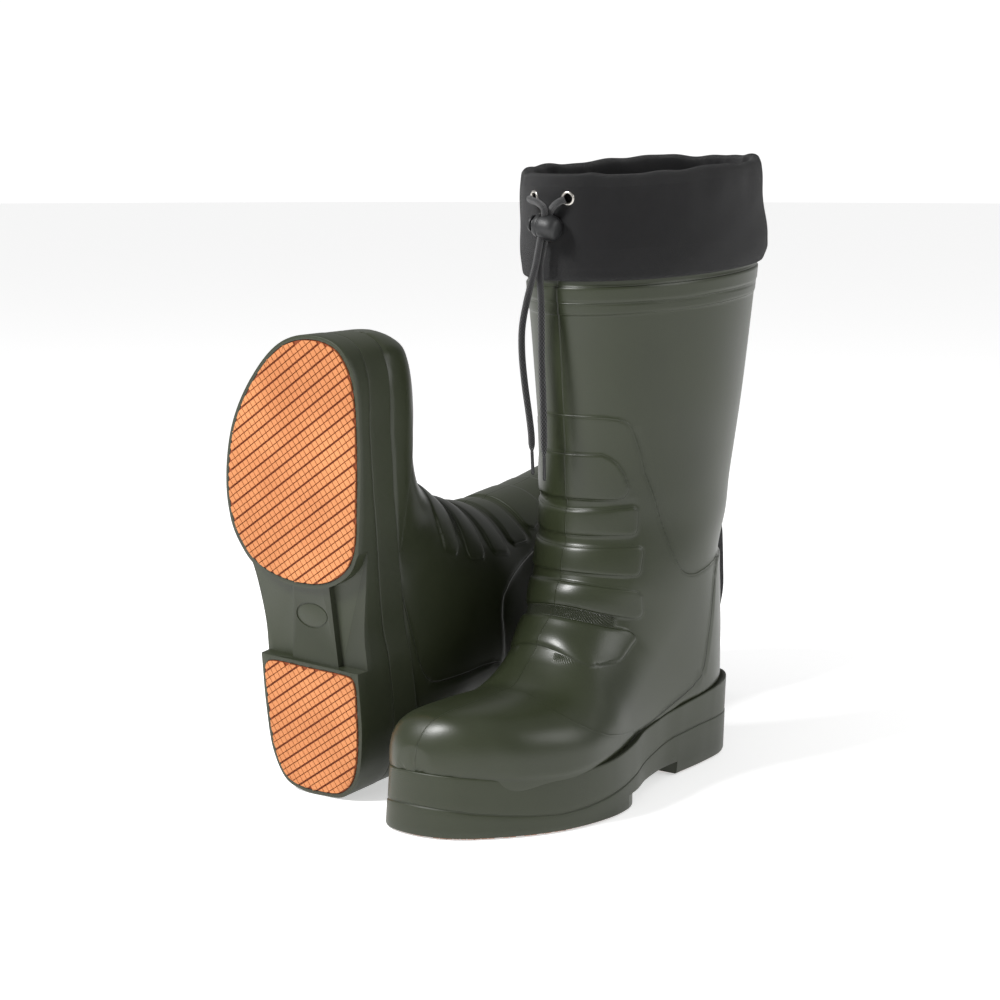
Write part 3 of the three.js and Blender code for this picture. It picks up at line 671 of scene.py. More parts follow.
foam_upper, tree, shader = new_finish("foam_upper", 0.35, specular=0.45)
grain = place_effect(tree, grain_group, Place=object_place(tree), Size=1.0)
front = read_mark(tree, "front")
lines = {
    label: place_effect(tree, thin_line, Distance=read_mark(tree, label), Width=width)["Mask"]
    for label, width in (
        ("parting", 0.55), ("guard", 0.7), ("counter", 0.6), ("cap", 0.8), ("pad", 0.55),
        ("ledge", 0.9),
    )
}
seam = math_node(tree, "MULTIPLY", lines["parting"], front)
bands = [
    place_effect(
        tree, thin_line, Width=0.45,
        Distance=math_node(tree, "SUBTRACT", read_mark(tree, "level"), at),
    )["Mask"]
    for at in (332.2, 321.6, 314.4)
]
hatch_mask = read_mark(tree, "hatch")
diagonals = [
    math_node(tree, "SINE", math_node(
        tree, "MULTIPLY",
        math_node(tree, operation, read_mark(tree, "parting"), read_mark(tree, "level")),
        2 * math.pi / 2.6,
    ))
    for operation in ("ADD", "SUBTRACT")
]
weave = math_node(tree, "ABSOLUTE", math_node(tree, "MULTIPLY", *diagonals))
knurl = math_node(tree, "MULTIPLY", weave, hatch_mask)
total = add_all(tree, [
    (grain["Height"], 0.08), (seam, 0.8), (lines["counter"], -1.0), (lines["guard"], 0.5),
    (lines["cap"], 0.25), (lines["pad"], -0.35), (bands[0], -0.6), (bands[1], 0.5), (bands[2], 0.5),
    (knurl, 1.5),
])
bump_to(tree, shader, total, 0.0004)
# Painted shade: the foam is drawn darker along the heel counter's seam, the toe ledge, the top band's upper
# edge and the pads' edges, where these steps and grooves fall in shade, and a little darker over the
# knurled band.
painted_shade = add_all(tree, [
    (lines["counter"], 0.55), (lines["ledge"], 0.12), (bands[0], 0.35), (lines["pad"], 0.15),
    (hatch_mask, 0.12),
])
foam_colour(tree, shader, grain["Tone"], painted_shade)
tree.links.new(remap(tree, grain["Tone"], 0.3, 0.9, 0.31, 0.39), shader.inputs["Roughness"])

# The second boot is this one mirrored, laid on its back and moved beside it.
LYING_SPOT = (-0.127, -0.056, 0.00011927)  # metres
LYING_TURN = -1  # degrees
LYING_ROLL = -85.8255  # degrees
LYING_PLACE = (
    Matrix.Translation(LYING_SPOT)
    @ Matrix.Rotation(math.radians(LYING_TURN), 4, "Z")
    @ Matrix.Rotation(math.radians(LYING_ROLL), 4, "X")
    @ Matrix.Translation((0, -BALL_POINT * MM, 0))
    @ Matrix.Scale(-1, 4, (1, 0, 0))
)


def pair_up(name, mesh, finish, slot, *nodes):
    """Adds a piece to the standing boot and its mirror image to the lying one."""
    pair = []
    for boot in ("standing", "lying"):
        copy = mesh.copy()
        copy.name = boot + "_" + name + "_mesh"
        if boot == "lying":
            copy.transform(LYING_PLACE)
            copy.flip_normals()
        piece = add_piece(boot + "_" + name, copy, finish)
        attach(piece, boot + "_boot")
        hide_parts(*(boot + "_" + node for node in nodes))
        pair.append(piece)
    return pair


upper_mesh = skin("upper", upper_rows, (0.4, 0.6), marks)
pair_up("foam_upper", upper_mesh, foam_upper, "foam", "shell")

# ---- midsole ----
# The thick lower part of the same foam moulding: a straight wall with a scored line round it, a
# ledge at the top where the upper rises, a recessed arch with a stiffening panel, and two shallow
# pockets underneath for the treads.
TREAD_PROUD = 1.2
POCKET_TOP = 4.5
ARCH_HEIGHT = 10
SHANK_LEVEL = 5.5
SOLE_OUTLINE = [
    (-20, 305), (6, 299), (32, 276), (53, 242), (61.5, 200), (57, 168), (47, 140), (41, 112),
    (40, 88), (39, 55), (35, 24), (25, 6), (10, 0.5), (-6, 0), (-24, 2), (-37, 14), (-43.5, 42),
    (-43.5, 84), (-42.5, 112), (-47.5, 150), (-53.5, 198), (-57, 245), (-55, 280), (-43, 299),
]
SCORE_LEVEL = [
    (0, 31), (22, 30.4), (64, 30.8), (98, 29.2), (114, 26.9), (135, 24), (163, 21), (188, 17.6),
    (205, 15.2), (224, 13), (245, 11.8), (270, 13.8), (290, 16.5), (301, 19), (305, 20),
]
FOREFOOT_REAR = [
    (90, 193), (64, 186), (54, 167), (42, 152), (22, 143), (-2, 140), (-24, 143), (-42, 154),
    (-54, 172), (-90, 181),
]
HEEL_FRONT = [(-90, 88), (-43, 88), (36, 91), (90, 92)]
SHANK = [(-24, 84), (16, 84), (11, 150), (-19, 150)]


def closed_curve(points, count):
    """A closed spline through (x, forward) points at even lengths, as (x, y)."""
    ring = np.array([(x, BALL_POINT - ahead) for x, ahead in points], float)
    wrapped = np.concatenate([ring[-2:], ring, ring[:2]])
    dense = spline_rows(wrapped[:, None], [24] * (len(wrapped) - 1))[:, 0]
    dense = dense[48 : 48 + 24 * len(ring) + 1]
    run = np.concatenate([[0], np.cumsum(np.linalg.norm(np.diff(dense, axis=0), axis=1))])
    at = np.linspace(0, run[-1], count + 1)
    return np.stack([np.interp(at, run, dense[:, k]) for k in (0, 1)], axis=-1)


def inward(curve):
    """Unit vectors pointing into a closed curve; its last point repeats its first."""
    ahead = np.roll(curve[:-1], -1, axis=0) - np.roll(curve[:-1], 1, axis=0)
    ahead = np.concatenate([ahead, ahead[:1]])
    ahead /= np.linalg.norm(ahead, axis=1, keepdims=True)
    normal = np.stack([-ahead[:, 1], ahead[:, 0]], axis=-1)
    middle_point = curve[:-1].mean(0)
    return normal if ((middle_point - curve) * normal).sum() > 0 else -normal


SOLE_SIDES = 300
sole = closed_curve(SOLE_OUTLINE, SOLE_SIDES)
sole_in = inward(sole)
sole_forward = BALL_POINT - sole[:, 1]
top_level = np.interp(sole_forward, ledge_at, ledge_level)
top_inset = np.interp(sole_forward, ledge_at, ledge_inset)
score = np.interp(sole_forward, *zip(*SCORE_LEVEL))


def sole_ring(level, inset_by):
    share = (level - TREAD_PROUD) / (top_level - TREAD_PROUD)
    place = sole + sole_in * (top_inset * share + inset_by)[:, None]
    return np.concatenate([place, (level + 0 * top_level)[:, None]], axis=1)


wall = []
for share, inset_by in ((0, 1.0), (0.25, 0.35), (1, 0.0)):
    wall.append(sole_ring(TREAD_PROUD + share * 1.2 + 0 * score, inset_by + 0 * score))
for share in (0.25, 0.5, 0.75):
    wall.append(sole_ring(TREAD_PROUD + 1.2 + share * (score - 3.6), 0 * score))
for up, inset_by in ((-1.2, 0), (-0.7, 0.1), (-0.25, 0.4), (0.25, 0.45), (0.7, 0.3), (1.2, 0.25)):
    wall.append(sole_ring(score + up, inset_by + 0 * score))
for share in (0.2, 0.4, 0.6, 0.8, 1):
    wall.append(sole_ring(score + 1.2 + share * (top_level - 1.3 - score - 1.2), 0.25 + 0 * score))
for up, inset_by in ((-0.6, 0.3), (-0.15, 0.6), (0, 1.1), (-0.1, 3), (-1.5, 7), (-6, 10)):
    wall.append(sole_ring(top_level + up, inset_by + 0 * score))
wall = np.array(wall)
low_score = np.array([row[:, 2] - score for row in wall])
sole_marks = {"score": np.concatenate([low_score[:1], low_score, low_score[-1:]])}
sole_rows = np.concatenate([pole(wall[0]), wall, pole(wall[-1])])
sole_rows[0, :, 1] = sole_rows[-1, :, 1] = 90
sole_mesh = skin("midsole", sole_rows, (0.75, 0.1), sole_marks)


def slab(outline, low, high):
    """A flat-sided block over an outline of (x, y) points."""
    bm = bmesh.new()
    corners = [bm.verts.new((x * MM, y * MM, low * MM)) for x, y in outline]
    base = bm.faces.new(corners)
    bmesh.ops.recalc_face_normals(bm, faces=[base])
    if base.normal.z > 0:
        bmesh.ops.reverse_faces(bm, faces=[base])
    top = bmesh.ops.extrude_face_region(bm, geom=[base])["geom"]
    raised = [v for v in top if isinstance(v, bmesh.types.BMVert)]
    bmesh.ops.translate(bm, verts=raised, vec=(0, 0, (high - low) * MM))
    heal(bm, 1e-7)
    return finished(bm, "block")


def joined(mesh, cutters, operation="DIFFERENCE"):
    """The mesh with each cutter cut away from it, or added to it."""
    body = add_piece("blank", mesh)
    tools = []
    for cutter in cutters:
        tool = add_piece("tool", cutter)
        tools.append(tool)
        cut = body.modifiers.new("cut", "BOOLEAN")
        cut.operation = operation
        cut.solver = "EXACT"
        cut.object = tool
    bpy.context.view_layer.update()
    result = bpy.data.meshes.new_from_object(
        body.evaluated_get(bpy.context.evaluated_depsgraph_get())
    )
    for spare in [body, *tools]:
        bpy.data.objects.remove(spare)
    return result


def world_points(points):
    return [(x, BALL_POINT - ahead) for x, ahead in points]


rear_line = spline_rows(np.array(world_points(FOREFOOT_REAR))[:, None], [4] * 9)[:, 0]
recess = [tuple(p) for p in rear_line] + world_points(HEEL_FRONT)
# Each tread's outline, as (x, forward) points.
FOREFOOT_TREAD = [
    (-52.5, 222.2), (-53.7, 245.1), (-53.9, 263.4), (-51.8, 279.2), (-47.4, 289), (-41.1, 296.3),
    (-31.4, 300.4), (-20, 301.7), (-7.7, 300.4), (4.4, 296.1), (17.4, 286.6), (29.5, 273.9),
    (40.9, 258.3), (49.9, 240.8), (55.8, 220.4), (58.2, 199.9), (57, 184), (54, 174.6),
    (48.6, 164.7), (42.4, 156.8), (33.6, 150.8), (22.4, 146.6), (9.7, 144), (-3.4, 143.3),
    (-15.5, 144.2), (-26.4, 147.5), (-35.9, 153.1), (-43.1, 161.4), (-47.6, 173), (-50.4, 198.4),
]
HEEL_TREAD = [
    (-40.2, 42.2), (-40.8, 63), (-40.6, 79), (-38.6, 84), (-34, 85.4), (0, 86.6), (29, 87.4),
    (34.4, 86), (36.8, 81), (36.4, 71.9), (35.7, 55.2), (34.5, 39.2), (31.8, 24.9), (28, 15.4),
    (22.8, 8.5), (16.8, 5.4), (9.5, 3.8), (2, 3.1), (-5.9, 3.3), (-14.9, 3.5), (-22.7, 5.1),
    (-29, 9.2), (-34.1, 15.5), (-38.1, 27.5),
]
tread_outlines = [
    closed_curve(FOREFOOT_TREAD, 130)[:-1], closed_curve(HEEL_TREAD, 90)[:-1]
]


def grown(outline, by):
    ring = np.concatenate([outline, outline[:1]])
    return (ring - inward(ring) * by)[:-1]


room_turns = np.linspace(0, 2 * math.pi, 49)
room = lofted(WALL - 1.5, FIRST_LINED, [1] * (len(STATIONS) - FIRST_LINED - 1), room_turns)
room_mesh = skin("room", np.concatenate([pole(room[0]), room, pole(room[-1])]))
shank_block = slab(world_points(SHANK), SHANK_LEVEL, ARCH_HEIGHT + 4)
LABEL_MIDDLE = (-3.5, 121)  # x and forward


def oval(long_half, wide_half):
    """The outline of the blank label under the arch."""
    turns = np.linspace(0, 2 * math.pi, 48, endpoint=False)
    x, ahead = LABEL_MIDDLE
    return [
        (x + long_half * math.cos(t), BALL_POINT - ahead + wide_half * math.sin(t)) for t in turns
    ]


sole_mesh = joined(sole_mesh, [slab(recess, -1, ARCH_HEIGHT)])
sole_mesh = joined(sole_mesh, [shank_block], "UNION")
sole_mesh = joined(
    sole_mesh,
    [slab(grown(outline, 0.3), -2, POCKET_TOP) for outline in tread_outlines]
    + [slab(oval(13.5, 8.5), SHANK_LEVEL - 1, SHANK_LEVEL + 0.7), room_mesh],
)
sole_mesh = joined(sole_mesh, [slab(oval(12.4, 7.4), SHANK_LEVEL + 0.3, SHANK_LEVEL + 2)], "UNION")


def sharp_edges(bm, degrees):
    return [
        e for e in bm.edges
        if len(e.link_faces) == 2 and e.calc_face_angle() > math.radians(degrees)
    ]


def round_edges(bm, edges, size, segments):
    bmesh.ops.bevel(
        bm, geom=edges, offset=size, offset_type="OFFSET", segments=segments, profile=0.5,
        affect="EDGES", material=-1, clamp_overlap=True,
    )


BEVEL_BELOW = 0.0128  # metres: only the edges of the arch, the pockets and the bottom are rounded
bm = bmesh.new()
bm.from_mesh(sole_mesh)
bmesh.ops.remove_doubles(bm, verts=bm.verts, dist=2e-5)
round_edges(
    bm, [e for e in sharp_edges(bm, 50) if max(v.co.z for v in e.verts) < BEVEL_BELOW], 0.0006, 2
)
bmesh.ops.recalc_face_normals(bm, faces=bm.faces)
smooth_faces(bm)
bm.to_mesh(sole_mesh)
bm.free()
sole_mesh.set_sharp_from_angle(angle=math.radians(38))

foam_sole, tree, shader = new_finish("foam_midsole", 0.45, specular=0.45)
grain = place_effect(tree, grain_group, Place=object_place(tree), Size=1.0)
score_mask = place_effect(tree, thin_line, Distance=read_mark(tree, "score"), Width=0.8)["Mask"]
rib_level = math_node(tree, "MULTIPLY", read_mark(tree, "score"), 2 * math.pi / 1.1)
ribs = math_node(tree, "MULTIPLY_ADD", math_node(tree, "SINE", rib_level), 0.5, 0.5)
band_mask = remap(tree, read_mark(tree, "score"), 2.5, 4.0)
patches = remap(tree, noise(tree, pattern_map(tree), 9.0, 1.0), 0.48, 0.6)
ribs = math_node(tree, "MULTIPLY", ribs, math_node(tree, "MULTIPLY", band_mask, patches))
bump_to(
    tree, shader,
    add_all(tree, [(grain["Height"], 0.1), (score_mask, -0.6), (ribs, 0.1)]), 0.0004,
)
# Painted shade: the foam is drawn darker along the scored line round the wall.
foam_colour(tree, shader, grain["Tone"], math_node(tree, "MULTIPLY", score_mask, 0.2))
pair_up("foam_midsole", sole_mesh, foam_sole, "foam", "shell")

# ---- treads ----
# Two tan-orange rubber pads bonded into the midsole's pockets. Each is moulded in rows of small
# square blocks that run slantwise over the sole, with deeper channels between pairs of rows.
BLOCK = 4.3
ROW_ANGLE = -33
CHANNEL = 0.8
TREAD_FLOOR = 1.25  # level of the channels' floor, over the ground
TREAD_BACK = 4.2  # level of the glued face
NARROWEST = 0.0011  # metres: narrower scraps at the pad's edge stay flat
# Each block's steps, as how far in and how far down: its foot, its side and its rounded shoulder.
BLOCK_STEPS = [(0.16, 0), (0.14, 0.95), (0.25, 0.3)]
tread_finish, tree, shader = new_finish("tread_rubber", 0.72, specular=0.35)
lift = read_mark(tree, "lift")
grain = place_effect(tree, grain_group, Place=object_place(tree), Size=1.2)
top_tone = mix_colour(
    tree, remap(tree, grain["Tone"], 0.3, 0.9), linear(176, 110, 66), linear(198, 131, 83)
)
# Painted shade: the channels' floors are drawn a dark brown that lightens up the blocks' sides to the tan
# of the tops.
tree.links.new(
    mix_colour(tree, remap(tree, lift, 0.35, 1.0), linear(122, 58, 26), top_tone),
    shader.inputs["Base Color"],
)
bump_to(tree, shader, grain["Height"], 0.0001)


def tread_pad(name, outline):
    bm = bmesh.new()
    lift = bm.verts.layers.float.new("lift")
    face = bm.faces.new([bm.verts.new((x * MM, y * MM, TREAD_FLOOR * MM)) for x, y in outline])
    face.normal_update()
    if face.normal.z > 0:
        bmesh.ops.reverse_faces(bm, faces=[face])
    angle = math.radians(ROW_ANGLE)
    pair_way = Vector((math.sin(angle), math.cos(angle), 0))
    row_way = Vector((math.cos(angle), -math.sin(angle), 0))
    pair_pitch = 2 * BLOCK + CHANNEL
    for way, pitch, cuts in (
        (pair_way, pair_pitch, (0, CHANNEL, BLOCK + CHANNEL)), (row_way, BLOCK, (0,))
    ):
        for k in range(-40, 41):
            for cut in cuts:
                bmesh.ops.bisect_plane(
                    bm, geom=bm.verts[:] + bm.edges[:] + bm.faces[:], dist=1e-7,
                    plane_co=way * ((k * pitch + cut) * MM), plane_no=way,
                )
    blocks = []
    for face in bm.faces:
        place_in_pair = (face.calc_center_median().dot(pair_way) / MM) % pair_pitch
        narrow = 2 * face.calc_area() / face.calc_perimeter()
        if place_in_pair > CHANNEL and narrow > NARROWEST:
            blocks.append(face)
    for thickness, depth in BLOCK_STEPS:
        bmesh.ops.inset_individual(
            bm, faces=blocks, thickness=thickness * MM, depth=depth * MM, use_even_offset=False
        )
        if depth:
            for face in blocks:
                for vert in face.verts:
                    vert[lift] = 1.0
    edge_ring = [edge for edge in bm.edges if edge.is_boundary]
    made = bmesh.ops.extrude_edge_only(bm, edges=edge_ring)["geom"]
    raised = [v for v in made if isinstance(v, bmesh.types.BMVert)]
    bmesh.ops.translate(bm, verts=raised, vec=(0, 0, (TREAD_BACK - TREAD_FLOOR) * MM))
    bmesh.ops.holes_fill(bm, edges=[e for e in bm.edges if e.is_boundary], sides=0)
    bmesh.ops.recalc_face_normals(bm, faces=bm.faces)
    return finished(bm, name)


for name, outline in zip(("forefoot_tread", "heel_tread"), tread_outlines):
    pair_up(name + "_blocks", tread_pad(name, outline), tread_finish, "tread", name)

# ---- liner and insole ----
# A removable felt sock, 5 mm thick and dark grey, that lines the foot and the shaft, and a flat
# felt board that lies on its floor.
LINER_OUTSIDE = 8.8
LINER_INSIDE = 13.8
felt_turns = np.linspace(0, 2 * math.pi, 145)
felt_steps = [2, 3] + [4] * 12 + [6, 5, 6, 6, 8, 6]
felt_out = lofted(LINER_OUTSIDE, FIRST_LINED, felt_steps, felt_turns)
felt_in = lofted(LINER_INSIDE, FIRST_LINED + 1, felt_steps[1:], felt_turns)[::-1]
for layer in (felt_out, felt_in):
    layer[:, :, 2] -= 6 * ramp(280, 340, layer[:, :, 2])  # its top ends under the shell's edge
waves = 0.4 * np.sin(5 * felt_turns) + 0.3 * np.sin(9 * felt_turns + 1)
felt_in += grid_normals(felt_in) * (waves[None, :] * 0.6)[..., None]
felt_rim = np.array([
    station_ring(TOP_STATION, depth, felt_turns) + CUFF_UP * up
    for depth, up in ((9.2, -5.3), (10.4, -4.6), (12.2, -4.6), (13.4, -5.3))
])
felt_rows = np.concatenate([pole(felt_out[0]), felt_out, felt_rim, felt_in, pole(felt_in[-1])])
felt_finish, tree, shader = new_finish("felt", 0.95, specular=0.15)
shader.inputs["Sheen Weight"].default_value = 0.3
place = object_place(tree)
fibres = noise(tree, place, 1100.0, 6.0, Roughness=0.7, Distortion=1.5)
felt_tone = math_node(tree, "MULTIPLY_ADD", noise(tree, place, 160.0, 3.0), 0.6, fibres)
paint(tree, shader, remap(tree, felt_tone, 0.5, 1.1), (46, 46, 49), (82, 82, 86))
bump_to(tree, shader, felt_tone, 0.0006)
pair_up("felt_liner", skin("liner", felt_rows, (0.38, 0.7)), felt_finish, "felt", "liner")

board_finish, tree, shader = new_finish("insole_board", 0.92, specular=0.15)
place = object_place(tree)
flecks = add_node(tree, "ShaderNodeTexVoronoi", Vector=place, Scale=420.0).outputs["Distance"]
fibres = noise(tree, place, 800.0, 5.0, Roughness=0.7)
board_tone = math_node(tree, "MULTIPLY_ADD", flecks, 0.4, fibres)
paint(tree, shader, remap(tree, board_tone, 0.35, 0.95), (66, 67, 70), (112, 113, 117))
bump_to(tree, shader, board_tone, 0.0005)
for boot in ("standing", "lying"):
    bm = bmesh.new()
    bm.from_mesh(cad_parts[boot + "_insole"].data)
    bmesh.ops.remove_doubles(bm, verts=bm.verts, dist=1e-6)
    bmesh.ops.dissolve_limit(
        bm, verts=bm.verts, edges=bm.edges, angle_limit=math.radians(1), use_dissolve_boundaries=False
    )
    round_edges(bm, sharp_edges(bm, 30), 0.001, 3)
    smooth_faces(bm)
    mesh = finished(bm, boot + "_insole_board")
    mesh.set_sharp_from_angle(angle=math.radians(40))
    insole = add_piece(boot + "_insole_board", mesh, board_finish)
    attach(insole, boot + "_boot")
    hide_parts(boot + "_insole")

# ---- cuff ----
# A collar of matte black woven nylon, folded double and stitched over the shell's top edge, with a
# channel at its hem for the drawcord. The cord gathers it into soft upright folds.
CUFF_SECTION = [
    (0.4, -12), (2.6, -12), (4, -4), (4.2, 8), (3.6, 30), (3, 47), (1.4, 54.2), (-2, 55),
    (-6.4, 52.5), (-6.6, 35.8), (-1.6, 31.8), (-1.4, 0.6), (0.4, 0.6),
]
section = np.array(CUFF_SECTION, float)
wrapped = np.concatenate([section[-2:], section, section[:3]])
section = spline_rows(wrapped[:, None], [8] * (len(wrapped) - 1))[:, 0][16:-16]
section = section[: 8 * len(CUFF_SECTION) + 1]
cuff_turns = np.linspace(0, 2 * math.pi, 361)
offset = np.repeat(section[None, :, 0], len(cuff_turns), 0)
rise_up = np.repeat(section[None, :, 1], len(cuff_turns), 0)
around = np.repeat(cuff_turns[:, None], len(section), 1)
gathered = ramp(10, 50, rise_up)
inside_fold = ramp(-0.5, -4, offset)
away = ramp(0.28, 0.5, np.abs(np.angle(np.exp(1j * (around - math.pi / 2 - EYELET_SHIFT)))))
folds = (
    0.7 * np.sin(7 * around + 1.3) + 0.5 * np.sin(13 * around + 0.4 + 0.02 * rise_up)
    + 0.35 * np.sin(23 * around + 2 + 0.05 * rise_up)
)
creases = 0.6 * np.sin(6 * around + 0.09 * rise_up) * np.sin(0.11 * rise_up + 3 * around)
offset = offset + away * (0.55 * gathered * folds + 1.2 * inside_fold * np.abs(folds) * 0.8)
offset = offset + away * 0.7 * creases * ramp(-12, 4, rise_up)
edge_wave = (
    0.8 * np.sin(5 * around + 0.5) + 0.45 * np.sin(11 * around) + 0.3 * np.sin(19 * around + 2)
)
rise_up = rise_up + away * edge_wave * ramp(40, 55, rise_up) * 1.1
bulge = np.exp(-((np.angle(np.exp(1j * (around + 0.7))) / 0.5) ** 2))
offset = offset + 2.2 * bulge * ramp(-12, -3, rise_up) * ramp(26, 4, rise_up)
cuff_rows = np.array([
    cuff_point(np.full(len(section), turn), offset[k], rise_up[k])
    for k, turn in enumerate(cuff_turns)
])
cuff_mesh = skin("cuff", cuff_rows, (0.15, 0.42))
HOLE_RADIUS = 3.4
HOLE_DEPTH = 7


def eyelet_place(side):
    """Stands an upright piece on an eyelet's seat."""
    seat, axis = eyelet_frame(side)
    turn = Vector((0, 0, 1)).rotation_difference(Vector(axis))
    return Matrix.Translation(Vector(seat * MM)) @ turn.to_matrix().to_4x4()


# The eyelets' holes go through the outer layer into the channel.
for side in (-1, 1):
    bm = bmesh.new()
    bmesh.ops.create_cone(
        bm, cap_ends=True, segments=40, radius1=HOLE_RADIUS * MM, radius2=HOLE_RADIUS * MM,
        depth=HOLE_DEPTH * MM,
    )
    bmesh.ops.transform(bm, verts=bm.verts, matrix=eyelet_place(side))
    cuff_mesh = joined(cuff_mesh, [finished(bm, "punch")])
for face in cuff_mesh.polygons:
    face.use_smooth = True
cuff_mesh.set_sharp_from_angle(angle=math.radians(60))

cloth_finish, tree, shader = new_finish("woven_nylon", 0.9, specular=0.15)
shader.inputs["Sheen Weight"].default_value = 0.12
shader.inputs["Sheen Roughness"].default_value = 0.6
pattern = pattern_map(tree)
parts = add_node(tree, "ShaderNodeSeparateXYZ", Vector=pattern).outputs
threads = []
for label, pitch in (("X", 0.00055), ("Y", 0.00062)):
    wave = math_node(tree, "SINE", math_node(tree, "MULTIPLY", parts[label], 2 * math.pi / pitch))
    threads.append(wave)
twill = math_node(tree, "MULTIPLY", threads[0], threads[1])
twill = math_node(tree, "MULTIPLY_ADD", twill, 0.5, 0.5)
lint = noise(tree, pattern, 1300.0, 4.0)
wear = noise(tree, pattern, 40.0, 3.0)
cloth_tone = add_all(tree, [(twill, 0.45), (lint, 0.6), (wear, 0.4)])
paint(tree, shader, remap(tree, cloth_tone, 0.4, 1.15), (2, 2, 3), (13, 12, 15))
bump_to(tree, shader, add_all(tree, [(twill, 1.0), (lint, 0.5)]), 0.0003)
# The flat size is not measured. The finished cuff is 0.55 m round its outer face, so a truer cut
# would be about 0.55 m by 0.09 m.
for boot, cuff in zip(
    ("standing", "lying"), pair_up("gathered_cuff", cuff_mesh, cloth_finish, "cloth", "cuff")
):
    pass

# ---- eyelets ----
# Two nickel-plated brass eyelets in each cuff's hem, rolled over at the face, 9 mm across.
nickel, tree, shader = new_finish("nickel_plate", 0.22, metallic=1.0)
scratches = noise(tree, object_place(tree), 700.0, 4.0, Distortion=2.0)
paint(tree, shader, scratches, (150, 146, 140), (214, 210, 204))
tree.links.new(remap(tree, scratches, 0.3, 0.8, 0.16, 0.36), shader.inputs["Roughness"])
bump_to(tree, shader, scratches, 0.00005)
EYELET_PROFILE = [
    (2.8, -1.2), (3.3, -1.2), (3.3, 0.3), (4.65, 0.3), (4.62, 0.62), (4.35, 0.9), (3.9, 1.1),
    (3.4, 1.08), (3.0, 0.85), (2.8, 0.45),
]


def spun(profile, segments):
    """A closed profile of (radius, height) turned round the z axis."""
    bm = bmesh.new()
    corners = [bm.verts.new((r * MM, 0, h * MM)) for r, h in profile]
    edges = [bm.edges.new(pair) for pair in zip(corners, corners[1:])]
    if profile[0][0] > 0:
        edges.append(bm.edges.new((corners[-1], corners[0])))
    bmesh.ops.spin(
        bm, geom=corners + edges, cent=(0, 0, 0), axis=(0, 0, 1), dvec=(0, 0, 0),
        angle=2 * math.pi, steps=segments, use_merge=True, use_duplicate=False,
    )
    heal(bm, 1e-7)
    smooth_faces(bm)
    return bm


for name, side in (("inner", -1), ("outer", 1)):
    bm = spun(EYELET_PROFILE, 48)
    bmesh.ops.transform(bm, verts=bm.verts, matrix=eyelet_place(side))
    mesh = finished(bm, "eyelet")
    mesh.set_sharp_from_angle(angle=math.radians(50))
    pair_up("eyelet_ring_" + name, mesh, nickel, "nickel", "eyelet_" + name)

# ---- cord lock ----
# A black nylon cord lock: a rounded barrel and a sprung plunger, with one slot through both for the
# two cord strands. Pressing the button against the spring frees the cords.
LEAN = math.radians(12)
LOCK_CENTRE = (2.5, 10.55, -17.6)
SLOT_RADIUS = 2.9
SLOT_SIDE = 2.45  # half the distance between the two cords' middles
plastic, tree, shader = new_finish("moulded_nylon", 0.38, specular=0.5)
grain = place_effect(tree, grain_group, Place=object_place(tree), Size=1.6)
paint(tree, shader, remap(tree, grain["Tone"], 0.3, 0.9), (12, 12, 13), (28, 29, 30))
tree.links.new(remap(tree, grain["Tone"], 0.3, 0.9, 0.32, 0.5), shader.inputs["Roughness"])
bump_to(tree, shader, grain["Height"], 0.0001)

plunger_axis = Vector((-math.cos(LEAN), 0, math.sin(LEAN)))
cord_way = Vector((-math.sin(LEAN), 0, -math.cos(LEAN)))
sideways = plunger_axis.cross(cord_way)
lock_middle = Vector((
    eyelet_middle[0] + LOCK_CENTRE[0],
    eyelet_middle[1] - LOCK_CENTRE[1],
    eyelet_middle[2] + LOCK_CENTRE[2],
)) * MM
lock_place = Matrix.Translation(lock_middle) @ Matrix(
    (sideways, cord_way, plunger_axis)
).transposed().to_4x4()
BARREL = [
    (0, -10.3), (3.6, -10.3), (4.9, -10.05), (6.2, -9.3), (7.1, -8.2), (7.7, -6.8), (8.1, -5.2),
    (8.3, -3.4), (8.3, -1.2), (8.2, 0.6), (8.05, 1.2), (7.75, 1.5), (7.75, 2.0), (8.0, 2.3),
    (7.9, 3.4), (7.6, 4.6), (7.3, 5.3), (6.9, 5.6), (6.4, 5.6), (6.4, -7.0), (5.0, -8.7), (0, -8.7),
]
PLUNGER = [
    (0, -4.6), (5.6, -4.6), (6, -4.2), (6, 5.0), (5.6, 5.4), (4.2, 5.6), (4.2, 8.4), (5.0, 8.4),
    (5.3, 8.7), (5.3, 9.7), (5.1, 10.2), (4.6, 10.5), (3.6, 10.6), (3.2, 10.35), (0, 10.2),
]


def slot_block(from_at, to_at):
    """The slot that both cords run through, as a rounded bar along the cord's way."""
    outline = []
    for turn in np.linspace(0, 2 * math.pi, 40, endpoint=False):
        x, z = SLOT_RADIUS * math.cos(turn), SLOT_RADIUS * math.sin(turn)
        outline.append((x + math.copysign(SLOT_SIDE, x), z + (to_at if z > 0 else from_at)))
    mesh = slab(outline, -15, 15)
    mesh.transform(Matrix.Rotation(math.radians(90), 4, "X"))
    return mesh


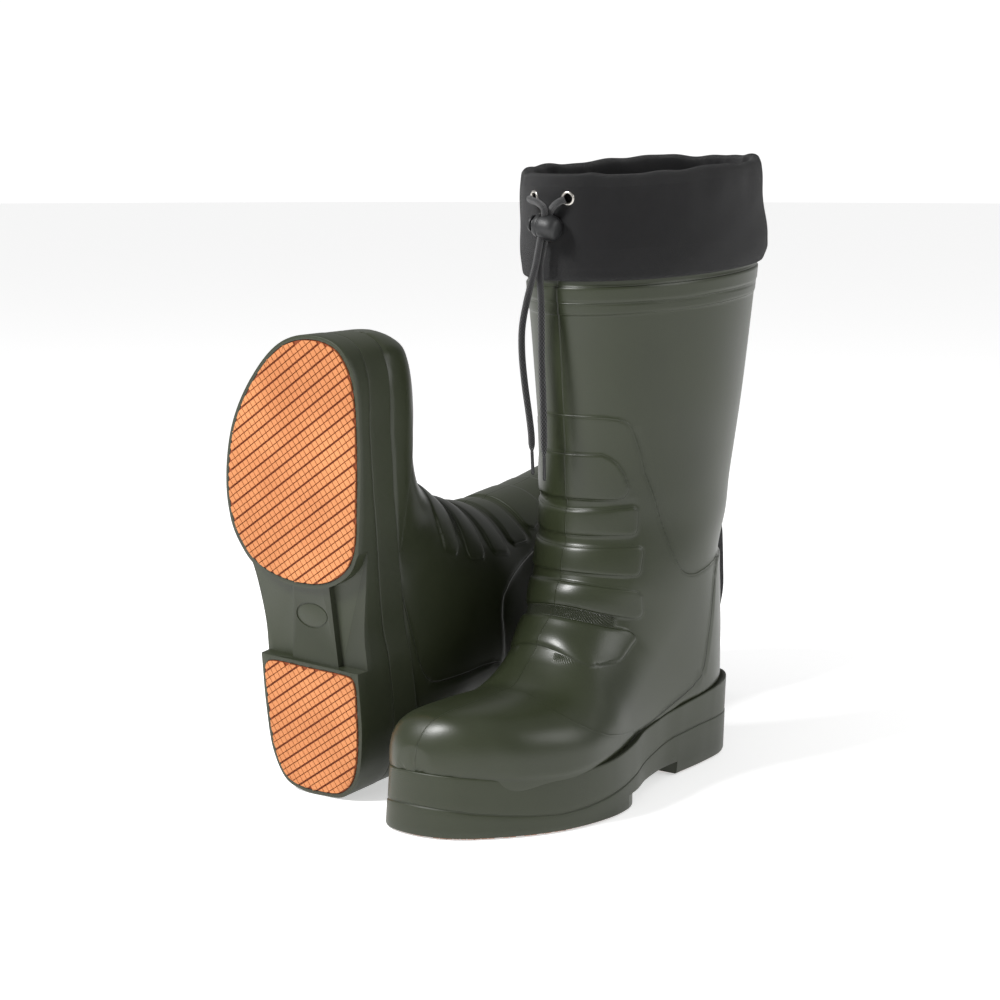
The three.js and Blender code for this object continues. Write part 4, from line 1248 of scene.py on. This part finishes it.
# The button's slot is longer than the cords are thick, by its travel and a little more.
for name, profile, slot, body, node in (
    ("lock_barrel", BARREL, (-0.01, 0.01), "cord_lock", "standing_cord_lock"),
    ("lock_button", PLUNGER, (0, 2.6), "lock_plunger", "standing_lock_plunger"),
):
    mesh = joined(finished(spun(profile, 72), name), [slot_block(*slot)])
    bm = bmesh.new()
    bm.from_mesh(mesh)
    bmesh.ops.remove_doubles(bm, verts=bm.verts, dist=1e-6)
    bmesh.ops.transform(bm, verts=bm.verts, matrix=lock_place)
    bmesh.ops.recalc_face_normals(bm, faces=bm.faces)
    bm.to_mesh(mesh)
    bm.free()
    for face in mesh.polygons:
        face.use_smooth = True
    mesh.set_sharp_from_angle(angle=math.radians(40))
    piece = add_piece(name, mesh, plastic)
    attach(piece, body)
    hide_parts(node)

# ---- lock spring ----
# A small coil of steel wire stands in the barrel's bore, under the button.
SPRING_WIRE = 0.35
SPRING_LOW, SPRING_HIGH = -8.7 + 0.3 + SPRING_WIRE, -4.6 - 0.3 - SPRING_WIRE
SPRING_RADIUS = 4.2
share = np.linspace(0, 1, 121)
coil = np.stack([
    SPRING_RADIUS * np.cos(share * 5 * math.pi), SPRING_RADIUS * np.sin(share * 5 * math.pi),
    SPRING_LOW + (SPRING_HIGH - SPRING_LOW) * share,
], axis=-1)
mesh = skin("lock_coil", tube_rows(coil, np.full(len(share), SPRING_WIRE), 10))
mesh.transform(lock_place)
steel, tree, shader = new_finish("spring_wire", 0.3, metallic=1.0)
drawn = noise(tree, object_place(tree), 2500.0, 2.0)
paint(tree, shader, drawn, (140, 141, 143), (190, 191, 194))
bump_to(tree, shader, drawn, 0.00003)
spring = add_piece("lock_coil", mesh, steel)
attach(spring, "cord_lock")
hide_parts("standing_lock_spring")
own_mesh(spring)

# ---- cord in the hem ----
# The same braided cord runs out of sight round the cuff's hem channel, from eyelet to eyelet.
hem_finish, tree, shader = new_finish("hem_cord_braid", 0.85, specular=0.3)
made = place_effect(tree, braid, Pattern=object_place(tree), Strands=300.0, Pitch=300.0)
# The cord's colour follows the braid's tone, painted shade between the strands included.
paint(tree, shader, remap(tree, made["Tone"], 0.15, 1.2), *CORD_BLACK)
bump_to(tree, shader, made["Height"], 0.0004)
for material_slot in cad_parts["standing_hem_cord"].material_slots:
    material_slot.material = hem_finish

bpy.context.view_layer.update()
